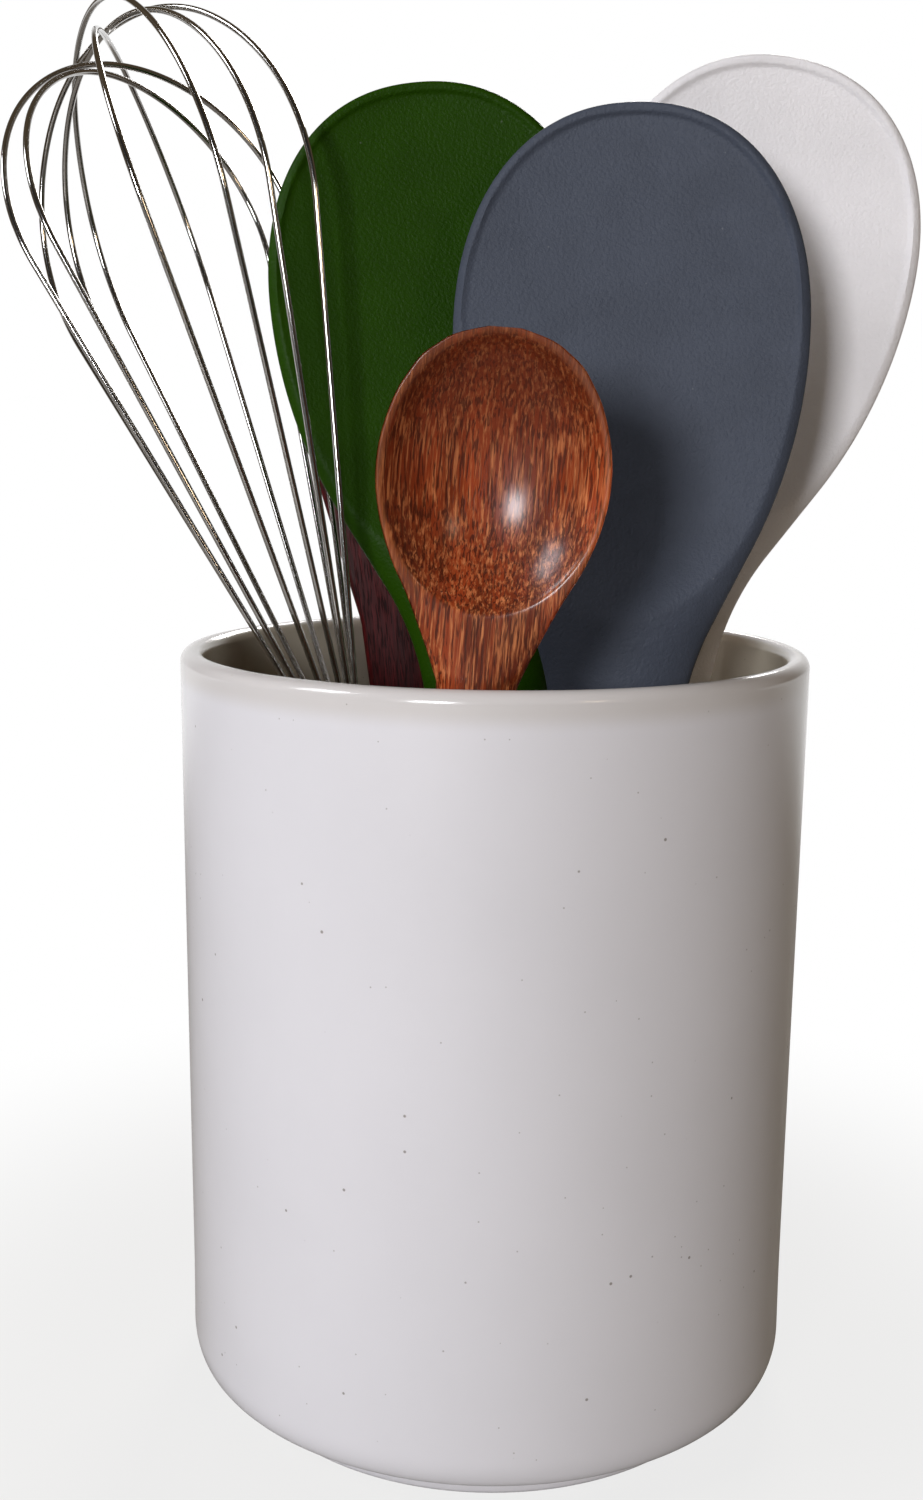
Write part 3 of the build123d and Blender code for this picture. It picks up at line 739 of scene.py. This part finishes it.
class MakePot(Operator):
    """Makes the glazed pot."""

    bl_idname = "crock.make_pot"
    bl_label = "Make the pot"

    def execute(self, context):
        s = context.scene.crock_sizes
        bore = s.lip_radius - s.wall
        bore_base = s.base_radius - s.wall
        lip = s.height - s.wall / 2
        foot_in = s.foot_radius - s.foot_width
        corner_x = s.base_radius - s.corner_inset
        corner_y = s.underside + s.corner_height
        r = s.foot_round
        gap = 0.0004
        profile = np.vstack((
            run((gap, s.recess), (foot_in, s.recess), 12),
            run((foot_in, s.recess - gap), (foot_in, r), 4),
            arc((foot_in + r, r), (r, r), 180, 270, 7),
            arc((s.foot_radius - r, r), (r, r), 270, 360, 7),
            run((s.foot_radius, r + gap), (s.foot_radius, s.foot_height - gap), 4),
            run((s.foot_radius + gap, s.foot_height), (corner_x - gap, s.underside), 8),
            arc((corner_x, corner_y), (s.corner_inset, s.corner_height), 270, 360, 14),
            run((s.base_radius, corner_y + gap), (s.lip_radius, lip - gap), 48),
            arc((s.lip_radius - s.wall / 2, lip), (s.wall / 2, s.wall / 2), 0, 180, 24),
            run((bore, lip - gap), (bore_base, s.floor_level + s.bore_corner + gap), 40),
            arc((bore_base - s.bore_corner, s.floor_level + s.bore_corner), (s.bore_corner,) * 2, 0, -90, 16),
            run((bore_base - s.bore_corner - gap, s.floor_level), (gap, s.floor_level), 16),
        ))

        def waver(radius, angle, height):
            """Slow waves round and up the wall, all inwards: half a turn plus two sines of the angle and height,
            away from the axis and the foot."""
            axis_side = 0.02
            foot_side = 0.03
            wave = np.sin(2 * angle + 1.1 + height * 9) + np.sin(3 * angle - height * 23) * 0.6
            return s.waver * (wave / 3.2 + 0.5) * ease(height, s.underside, foot_side) * (radius > axis_side)

        pot = spin("pot", profile, origin=np.zeros(3), axis=(0, 0, 1), sides=224, waver=waver)
        finish = glaze_finish(context.scene.crock_colours)
        settle(pot, "crock", "crock", finish, crease=50.0)
        return {"FINISHED"}


def head_width(s, rise):
    """Half width of a silicone head by height above its widest place, and its heel's height: a superellipse
    above, and below a round flank, a straight run and the neck's round fillet."""
    turn = s.flank_turn
    neck = s.neck_width / 2
    flank_x = s.half_width - s.flank_radius * (1 - cos(turn))
    flank_y = -s.flank_radius * sin(turn)
    neck_x = neck + s.neck_radius * (1 - cos(turn))
    neck_y = flank_y - (flank_x - neck_x) / tan(turn)
    heel_y = neck_y - s.neck_radius * sin(turn)
    fill = 1 - np.clip(rise / s.crown_height, 0.0, 1.0) ** s.crown_power
    crown = s.half_width * fill ** (1 / s.crown_power)
    flank = s.half_width - s.flank_radius + np.sqrt(np.clip(s.flank_radius ** 2 - rise ** 2, 0.0, None))
    straight = flank_x - (flank_y - rise) * tan(turn)
    fillet = neck + s.neck_radius - np.sqrt(np.clip(s.neck_radius ** 2 - (rise - heel_y) ** 2, 0.0, None))
    above = (rise >= 0, rise >= flank_y, rise >= neck_y, rise >= heel_y)
    return np.select(above, (crown, flank, straight, fillet), neck), heel_y


def dish_level(s, past):
    """Height of the dish by place past its heel, against the front: a round run-out, then a flat that falls
    towards the tip. The circle passes through the heel and touches the flat where the run-out ends."""
    overrun = 0.002
    flat_run = s.heel_drop + s.crown_height + overrun - s.dish_run
    slope = (s.tip_depth - s.dish_depth) / flat_run
    rise = (s.dish_depth - s.dish_run * slope) / hypot(1.0, slope)
    radius = (s.dish_run ** 2 + s.dish_depth ** 2) / (2 * rise)
    centre_e = s.dish_run + radius * slope / hypot(1.0, slope)
    centre_out = radius / hypot(1.0, slope) - s.dish_depth
    curve = centre_out - np.sqrt(np.clip(radius ** 2 - (past - centre_e) ** 2, 0.0, None))
    flat = -s.dish_depth - slope * (past - s.dish_run)
    return np.where(past < s.dish_run, curve, flat)


def edge_distance(x, along, width, first):
    """Distance to a head's outline, as the least over the outline's points past a first place along it."""
    head = along > first
    outline_x = np.concatenate((-width[head], width[head][::-1]))
    outline_e = np.concatenate((along[head], along[head][::-1]))
    return np.hypot(outline_x - x[..., None], outline_e - along[:, None, None]).min(-1)


class MakeSiliconeSpoons(Operator):
    """Makes the three silicone spoons."""

    bl_idname = "crock.make_silicone_spoons"
    bl_label = "Make the silicone spoons"

    def execute(self, context):
        colours = context.scene.crock_colours
        for name, base in (("grey", colours.grey), ("green", colours.green), ("white", colours.white)):
            finish = silicone_finish(name + "_spoon_finish", base)
            self.make_spoon(context.scene.spoon_sizes, name + "_spoon", finish, name + "_silicone")
        return {"FINISHED"}

    def make_spoon(self, s, body, finish, slot):
        """A spoon whose sections are two half ellipses, and whose front is cut down to the dish's height. The
        dish bows in across its width inside a raised lip."""
        below_heel = 0.002
        above_heel = 0.01
        below_widest = 0.0006
        dish_margin = 0.004
        bow_run = 0.025
        lip_run = 0.030
        lip_fade = 0.0008
        widest = HEADS[body]
        front_level = s.grip_end_thickness / 2
        stand = Stand(body).on_end(s.grip_end_width / 2, s.grip_end_thickness, front_level, s.end_round)
        heel = widest + head_width(s, np.zeros(1))[1]
        dish_heel = widest - s.heel_drop
        along = np.concatenate((
            end_steps(s.end_round, 8),
            np.linspace(s.end_round, heel - below_heel, 56),
            np.linspace(heel, widest - below_widest, 130),
            widest + s.crown_height * np.sin(np.linspace(0, pi / 2, 72)),
        ))
        stations = (0.0, s.slot_place + s.slot_length, heel / 2, heel, heel + above_heel)
        widths = np.array((s.grip_end_width, s.grip_end_width, s.grip_width, s.neck_width, s.neck_width))
        depths = (s.grip_end_thickness, s.grip_end_thickness, s.grip_thickness, s.thickness, s.thickness)
        depth = smooth_through(stations, depths, along)
        fall = end_fall(along, s.end_round)
        grip = smooth_through(stations, widths / 2, along)
        width = np.where(along < heel, grip, head_width(s, along - widest)[0]) - fall
        thin = np.where(along > widest, width / s.half_width, 1.0)
        blend = ease(along, heel, widest)
        swell = (depth - front_level) * (1 - blend) + s.back_swell * blend

        x = across(width, 72)
        e = along[:, None]
        section = oval(x, width[:, None])
        height = (front_level * thin - fall)[:, None] * section
        bow = s.dish_bow * thin[:, None] * section ** 2 * ease(e, dish_heel, dish_heel + bow_run)
        lip = s.dish_lip * ease(e, widest - lip_run, widest)
        lip = lip * (1 - ease(edge_distance(x, along, width, heel), s.dish_lip_width, s.dish_lip_width + lip_fade))
        cut = front_level + dish_level(s, e - dish_heel) - bow + lip
        dished = soft_least(height, cut, np.minimum(s.dish_soft, height))
        front = np.where(e > dish_heel - dish_margin, dished, height)
        back = -(swell * thin - fall)[:, None] * section
        piece = flat_tool(stand, body + "_body", along, x, front, back)
        cut_slot(piece, stand, s)
        return settle(piece, body + "_silicone", body, finish)


def cut_slot(piece, stand, s):
    """Cuts the hanging slot: a stadium carried through the handle."""
    half = s.slot_width / 2
    straight = s.slot_length / 2 - half
    loop = np.vstack((
        arc((0.0, s.slot_place + straight), (half, half), 0, 180, 13),
        arc((0.0, s.slot_place - straight), (half, half), 180, 360, 13),
    ))
    reach = 0.02
    outs = np.array((-reach, reach))[:, None]
    cutter = skin("slot_cutter", stand.place(loop[None, :, 0], loop[None, :, 1], outs))
    cut = piece.modifiers.new("slot", "BOOLEAN")
    cut.operation = "DIFFERENCE"
    cut.solver = "EXACT"
    cut.object = cutter
    bake_modifiers(piece)
    bpy.data.objects.remove(cutter)


class MakeWoodenSpoon(Operator):
    """Makes the wooden spoon."""

    bl_idname = "crock.make_wooden_spoon"
    bl_label = "Make the wooden spoon"

    def execute(self, context):
        s = context.scene.ladle_sizes
        front_level = s.neck_thickness / 2
        stand = Stand("wooden_spoon").on_end(s.end / 2, s.end, front_level, s.end_round)
        grip_stops = s.neck_place - 0.006
        bowl_starts = s.neck_place - 0.0055
        flat_from = s.neck_place + 0.014
        tip = 0.0035
        edge_round = 0.0005
        rim_crossing = (-0.0003, 0.0001)
        rim_depths = (0.0010, 0.0004)
        rim_run = (0.024, 0.010)
        along = np.concatenate((
            end_steps(s.end_round, 10),
            np.linspace(s.end_round, grip_stops, 50),
            np.linspace(bowl_starts, s.reach - tip, 170),
            s.reach - tip * np.cos(np.linspace(0, pi / 2, 24))[1:],
        ))
        bowl_place = s.neck_place + BOWL_SHARES[:, 0] * (s.reach - s.neck_place)
        bowl_width = smooth_through(bowl_place, BOWL_SHARES[:, 1] * s.half_width, along)
        bowl_depth = smooth_through(bowl_place, BOWL_SHARES[:, 2] * s.depth, along)
        stations = (0.0, s.neck_place / 2, s.neck_place)
        grip_width = smooth_through(stations, np.array((s.end, s.grip, s.neck_width)) / 2, along)
        grip_depth = smooth_through(stations, (s.end, s.grip, s.neck_thickness), along)
        fall = end_fall(along, s.end_round)
        width = np.where(along < s.neck_place, grip_width, bowl_width) - fall
        half_depth = np.where(along < s.neck_place, grip_depth, bowl_depth) / 2
        hollow_radius = (s.hollow_half_width ** 2 + s.hollow_depth ** 2) / (2 * s.hollow_depth)
        hollow_reach = hollow_radius * s.hollow_half_length / s.hollow_half_width

        def hollow(x, e):
            """The hollow's height: an ellipsoid whose middle lies above the front."""
            inside = 1 - (x / hollow_radius) ** 2 - ((e - s.hollow_place) / hollow_reach) ** 2
            return front_level - s.hollow_depth + hollow_radius - hollow_radius * np.sqrt(np.clip(inside, 0, 1))

        # The front goes over from an oval handle to a flat rim, cut by the hollow; the back stays oval
        x = across(width, 96)
        section = oval(x, width[:, None])
        flat = ease(along, grip_stops, flat_from)
        face = (front_level - fall)[:, None] - (half_depth * (1 - flat))[:, None] * (1 - section)
        front = soft_least(face, hollow(x, along[:, None]), s.rim_soft)
        middle = front_level - half_depth * (1 - flat)
        drop = (half_depth + half_depth * flat)[:, None] * section
        back = middle[:, None] - np.maximum(drop - fall[:, None], 0.0)

        def rim(x, e, out):
            """1 on the narrow flat between the hollow's edge and the outer edge, down to the neck, where a highlight
            is painted.
            """
            outside = ease(hollow(x, e) - front_level, *rim_crossing)
            raised = ease(out, front_level - rim_depths[0], front_level - rim_depths[1])
            return outside * raised * ease(e, s.hollow_place - rim_run[0], s.hollow_place - rim_run[1])

        piece = flat_tool(stand, "wooden_spoon_body", along, x, front, back, (edge_round * flat, 0.0), rim)
        colours = context.scene.crock_colours
        finish = wood_finish(
            "reddish_wood_finish", colours.red_wood, colours.bright_wood, gloss=0.34, coat_weight=0.5,
        )
        settle(piece, "wooden_spoon", "wooden_spoon", finish, crease=60.0)
        return {"FINISHED"}


class MakeTurner(Operator):
    """Makes the flat wooden turner."""

    bl_idname = "crock.make_turner"
    bl_label = "Make the turner"

    def execute(self, context):
        s = context.scene.turner_sizes
        stand = Stand("wooden_turner").on_end(s.grip_width / 2, s.grip_thickness, s.grip_thickness / 2, s.end_round)
        tip_starts = s.reach - s.tip_round
        along = np.concatenate((
            end_steps(s.end_round, 8),
            np.linspace(s.end_round, tip_starts, 120),
            tip_starts + s.tip_round * np.sin(np.linspace(0, pi / 2, 20)[1:]),
        ))
        places = (0.0, s.neck_place / 2, s.neck_place, s.shoulder_place, s.reach)
        widths = np.array((s.grip_width, s.grip_width, s.neck_width, s.blade_width, s.blade_width)) / 2
        depths = np.array((s.grip_thickness, s.grip_thickness, s.thickness, s.thickness, s.thickness)) / 2
        corners = (s.grip_corner, s.grip_corner, s.edge_round, s.edge_round, s.edge_round)
        fall = end_fall(along, s.end_round)
        over_tip = np.clip(along - tip_starts, 0.0, s.tip_round)
        tip_fall = s.tip_round - np.sqrt(s.tip_round ** 2 - over_tip ** 2)
        over_edge = np.clip((along - (s.reach - s.edge_round)) / s.edge_round, 0, 1)
        tip_thin = s.edge_round * (1 - np.sqrt(np.clip(1 - over_edge ** 2, 0, 1)))
        width = np.interp(along, places, widths) - fall - tip_fall
        half = np.interp(along, places, depths) - fall - tip_thin
        corner = np.minimum(np.interp(along, places, corners), half)

        def rim(x, e, out):
            """1 near the long edges, where a highlight is painted."""
            highlight_band = (0.0012, 0.0004)
            return ease(np.abs(x), width[:, None] - highlight_band[0], width[:, None] - highlight_band[1])

        level = half[:, None]
        piece = flat_tool(stand, "turner_body", along, across(width, 40), level, -level, (corner, corner), rim)
        base = context.scene.crock_colours.dark_wood
        finish = wood_finish("dark_wood_finish", base, tint(base, 2.2), gloss=0.42, coat_weight=0.0)
        settle(piece, "wooden_turner", "wooden_turner", finish)
        return {"FINISHED"}


def whisk_stand(s):
    """The whisk stands on its hanging loop's bend."""
    stand = Stand("whisk")
    hook_radius = (s.hook_width + s.hook_wire) / 2
    drop = hook_radius * (hypot(stand.up[2], stand.across[2]) - stand.up[2])
    drop += s.hook_wire / 2 * (1 - stand.up[2])
    return stand.lift(drop)


class MakeWhiskWires(Operator):
    """Makes the whisk's wire loops and its hanging loop."""

    bl_idname = "crock.make_whisk_wires"
    bl_label = "Make the whisk's wires"

    def execute(self, context):
        s = context.scene.whisk_sizes
        stand = whisk_stand(s)
        steel = context.scene.crock_colours.steel
        finish = steel_finish("wire_finish", steel, roughness=0.11, streaks=(900.0, 900.0, 60.0), follows=True)
        base = stand.origin + stand.up * s.mouth
        for name, (angle, lean, level, share) in LOOP_SHARES.items():
            turn, tilt = radians(angle), radians(lean)
            outward = stand.face * cos(turn) + stand.across * sin(turn)
            upward = stand.up * cos(tilt) + np.cross(stand.up, outward) * sin(tilt)
            flat = self.loop(s, s.crown_height + level * s.crown_step, share * s.bulb_half_width)
            path = base + flat[:, :1] * outward + flat[:, 1:] * upward
            wire = tube(name + "_steel", path, np.cross(outward, upward), s.wire / 2, 14)
            settle(wire, name, "whisk", finish)
        hook_radius = (s.hook_width + s.hook_wire) / 2
        centre = hook_radius + s.hook_wire / 2
        top = s.hook_length + s.hook_seat
        flat = np.vstack((
            run((hook_radius, top), (hook_radius, centre), 8)[:-1],
            arc((0.0, centre), (hook_radius, hook_radius), 0, -180, 25),
            run((-hook_radius, centre), (-hook_radius, top), 8)[1:],
        ))
        path = stand.place(flat[:, 0], flat[:, 1], np.zeros(len(flat)))
        hook = tube("hanging_loop_steel", path, stand.face, s.hook_wire / 2, 16)
        settle(hook, "whisk_hanging_loop", "whisk", finish)
        return {"FINISHED"}

    def loop(self, s, height, half_width):
        """One loop in its own plane: a seat, a bend, a straight leg that touches the bend and the shoulder, the
        shoulder's arc and the crown's arc, mirrored."""
        crown_start = 45.0
        turn = radians(crown_start)
        shoulder = (half_width - s.crown_radius * sin(turn)) / (1 - sin(turn))
        centre_x = (s.crown_radius - shoulder) * sin(turn)
        centre_y = height - s.crown_radius + (s.crown_radius - shoulder) * cos(turn)
        bend_x = s.ring_radius + s.bend_radius
        run_x = bend_x - centre_x
        leg = atan2(centre_y, run_x) - acos((s.bend_radius + shoulder) / hypot(run_x, centre_y))
        degrees = leg * 180 / pi
        seat = run((s.ring_radius, -s.seat_depth), (s.ring_radius, 0.0), 5)[:-1]
        bend = arc((bend_x, 0.0), (s.bend_radius,) * 2, 180, 180 - degrees, 8)
        side = arc((centre_x, centre_y), (shoulder,) * 2, -degrees, crown_start, 34)[:-1]
        crown = arc((0.0, height - s.crown_radius), (s.crown_radius,) * 2, crown_start, 90, 22)
        half = np.vstack((seat, bend, run(bend[-1], side[0], 14)[1:-1], side, crown))
        return np.vstack((half, (half * (-1.0, 1.0))[-2::-1]))


class MakeWhiskHandle(Operator):
    """Makes the whisk's handle and finishes its end cap."""

    bl_idname = "crock.make_whisk_handle"
    bl_label = "Make the whisk's handle"

    def execute(self, context):
        s = context.scene.whisk_sizes
        stand = whisk_stand(s)
        foot = s.hook_length + s.cap
        collar = s.mouth - s.collar
        belly = (foot + collar) / 2
        places = (foot, belly, (belly + collar) / 2, collar)
        radii = np.array((s.end_radius, s.belly_radius, s.waist_radius, s.mouth_radius))
        height = np.linspace(foot, collar, 60)
        outer = np.column_stack((smooth_through(places, radii, height), height))
        lip = s.handle_wall / 2
        inner_radius = s.mouth_radius - s.handle_wall
        collar_start = collar + 0.0002
        collar_stop = s.mouth - lip - 0.0001
        profile = np.vstack((
            outer,
            run((s.mouth_radius, collar_start), (s.mouth_radius, collar_stop), 8),
            arc((s.mouth_radius - lip, s.mouth - lip), (lip, lip), 0, 180, 9),
            run((inner_radius, collar_stop), (inner_radius, collar_start), 8),
            (outer - (s.handle_wall, 0.0))[::-1],
        ))
        handle = spin("whisk_handle_tube", profile, stand.origin, stand.up, sides=72)
        base = context.scene.crock_colours.steel
        steel = steel_finish("handle_finish", base, roughness=0.28, streaks=(500.0, 500.0, 12.0))
        settle(handle, "whisk_handle", "whisk", steel)
        coat(frame["nodes"]["whisk_end_cap"], steel)
        return {"FINISHED"}


class FinishInnerPieces(Operator):
    """Gives the plug and the spoons' cores their finishes."""

    bl_idname = "crock.finish_inner_pieces"
    bl_label = "Finish the inner pieces"

    def execute(self, context):
        colours = context.scene.crock_colours
        coat(frame["nodes"]["whisk_wire_plug"], plastic_finish("plug_finish", colours.plug, roughness=0.45))
        core = plastic_finish("core_finish", colours.core, roughness=0.5)
        for name in HEADS:
            coat(frame["nodes"][name + "_core"], core)
        return {"FINISHED"}


class MakeStage(Operator):
    """Makes the floor, the room's light, the lamps and the camera."""

    bl_idname = "crock.make_stage"
    bl_label = "Make the stage"

    def execute(self, context):
        s = context.scene.crock_stage
        self.floor()
        self.room(context, s)
        for name, (turns, distance, size, tone) in LAMPS.items():
            self.lamp(name, turns, distance, size, getattr(s, name + "_power"), tone)
        self.camera(context, s)
        context.scene.view_settings.view_transform = "Standard"
        return {"FINISHED"}

    def floor(self):
        """A round floor that turns plain white for the camera away from the crock."""
        shadow_side = (0.08, 0.24)
        back_side = (0.3, 0.8)
        near_white, far_rise = 0.80, 0.20
        sides = 96
        radii = np.concatenate(((0.0,), np.geomspace(0.05, 6.0, 40)))[:, None]
        angle = np.linspace(0, 2 * pi, sides, endpoint=False)
        x, y = radii * np.cos(angle), radii * np.sin(angle)
        grid = np.arange(x.size).reshape(x.shape)
        faces = np.stack((grid[:-1], grid[1:], np.roll(grid[1:], -1, 1), np.roll(grid[:-1], -1, 1)), -1)
        mesh = bpy.data.meshes.new("floor")
        points = np.stack((x, y, np.zeros_like(x)), -1)
        mesh.from_pydata(points.reshape(-1, 3).tolist(), [], faces.reshape(-1, 4).tolist())
        plane = bpy.data.objects.new("floor", mesh)
        bpy.context.scene.collection.objects.link(plane)
        finish = Finish("floor_finish", Roughness=0.8, Base_Color=(0.32, 0.30, 0.27, 1.0))
        place = finish.place()
        behind = finish.part(place, "Y").between(*back_side)
        away = finish.size(place).between(*shadow_side)
        amount = (near_white + away * far_rise) * finish.seen(behind)
        white = finish.node("ShaderNodeEmission", None, {"Color": (1, 1, 1, 1), "Strength": 1.0})
        shade = Link(finish, finish.shader.outputs["BSDF"])
        finish.show(finish.blend(amount, shade, white), "Material Output")
        mesh.materials.append(finish.material)

    def room(self, context, s):
        """A warm room light, dimmer in front, seen as white by the camera and by what reflects the back."""
        front_side = (-0.85, -0.1)
        back_side = (0.6, 0.95)
        dimness = 0.2
        world = bpy.data.worlds.new("room")
        world.use_nodes = True
        air = Nodes(world.node_tree)
        light = air.tree.nodes["Background"]
        light.inputs["Color"].default_value = (1.0, 0.74, 0.46, 1.0)
        light.inputs["Strength"].default_value = s.room
        depth = air.part(air.node("ShaderNodeTexCoord", output="Generated"), "Y")
        dim = air.node("ShaderNodeBackground", None, {"Color": (1.0, 0.9, 0.8, 1.0), "Strength": s.room * dimness})
        white = air.node("ShaderNodeBackground", None, {"Color": (1, 1, 1, 1), "Strength": 1.0})
        warm = air.blend(depth.between(*front_side), dim, Link(air, light.outputs[0]))
        air.show(air.blend(air.seen(depth.between(*back_side)), warm, white), "World Output")
        context.scene.world = world

    def lamp(self, name, turns, distance, size, watts, tone):
        """A square soft lamp that faces the tools from a turn and a height in degrees: a turn of 0 is in front."""
        aim = Vector((0.0, 0.0, 0.2))
        turn, height = (radians(value) for value in turns)
        light = bpy.data.lights.new(name, "AREA")
        light.size = size
        light.energy = watts
        light.color = tone
        lamp = bpy.data.objects.new(name, light)
        away = Vector((sin(turn) * cos(height), -cos(turn) * cos(height), sin(height)))
        lamp.location = aim + away * distance
        lamp.rotation_euler = (-away).to_track_quat("-Z", "Y").to_euler()
        bpy.context.scene.collection.objects.link(lamp)

    def camera(self, context, s):
        """The camera looks down by its pitch, turned left by its yaw and rolled about its view."""
        ahead = Vector((-sin(s.yaw) * cos(s.pitch), cos(s.yaw) * cos(s.pitch), -sin(s.pitch)))
        level = Vector((cos(s.yaw), sin(s.yaw), 0.0))
        upright = level.cross(ahead)
        right = level * cos(s.roll) + upright * sin(s.roll)
        top = upright * cos(s.roll) - level * sin(s.roll)
        frame_height = 36.0
        data = bpy.data.cameras.new("camera")
        data.sensor_fit = "VERTICAL"
        data.sensor_height = frame_height
        data.lens = s.lens
        data.clip_start = 0.01
        camera = bpy.data.objects.new("camera", data)
        turned = Matrix((right, top, -ahead)).transposed().to_4x4()
        camera.matrix_world = Matrix.Translation((0.0, -s.camera_distance, s.camera_height)) @ turned
        context.scene.collection.objects.link(camera)
        context.scene.camera = camera


class CrockPanel(Panel):
    """Lists the steps that make the crock and its tools."""

    bl_label = "Utensil crock"
    bl_idname = "CROCK_PT_steps"
    bl_space_type = "VIEW_3D"
    bl_region_type = "UI"
    bl_category = "Crock"

    def draw(self, context):
        for step in STEPS:
            self.layout.operator(step.bl_idname)


GROUPS = {
    "crock_sizes": CrockSizes,
    "spoon_sizes": SpoonSizes,
    "ladle_sizes": LadleSizes,
    "turner_sizes": TurnerSizes,
    "whisk_sizes": WhiskSizes,
    "crock_colours": FinishColours,
    "crock_stage": StageSettings,
}
STEPS = (
    MakePot, MakeSiliconeSpoons, MakeWoodenSpoon, MakeTurner, MakeWhiskWires, MakeWhiskHandle,
    FinishInnerPieces, MakeStage,
)


def register():
    for kind in (*GROUPS.values(), *STEPS, CrockPanel):
        bpy.utils.register_class(kind)
    for name, kind in GROUPS.items():
        setattr(bpy.types.Scene, name, PointerProperty(type=kind))


def unregister():
    for name in GROUPS:
        delattr(bpy.types.Scene, name)
    for kind in reversed((*GROUPS.values(), *STEPS, CrockPanel)):
        bpy.utils.unregister_class(kind)


def main():
    register()
    bpy.ops.crock.make_pot()
    bpy.ops.crock.make_silicone_spoons()
    bpy.ops.crock.make_wooden_spoon()
    bpy.ops.crock.make_turner()
    bpy.ops.crock.make_whisk_wires()
    bpy.ops.crock.make_whisk_handle()
    bpy.ops.crock.finish_inner_pieces()
    bpy.ops.crock.make_stage()


if __name__ == "__main__":
    main()
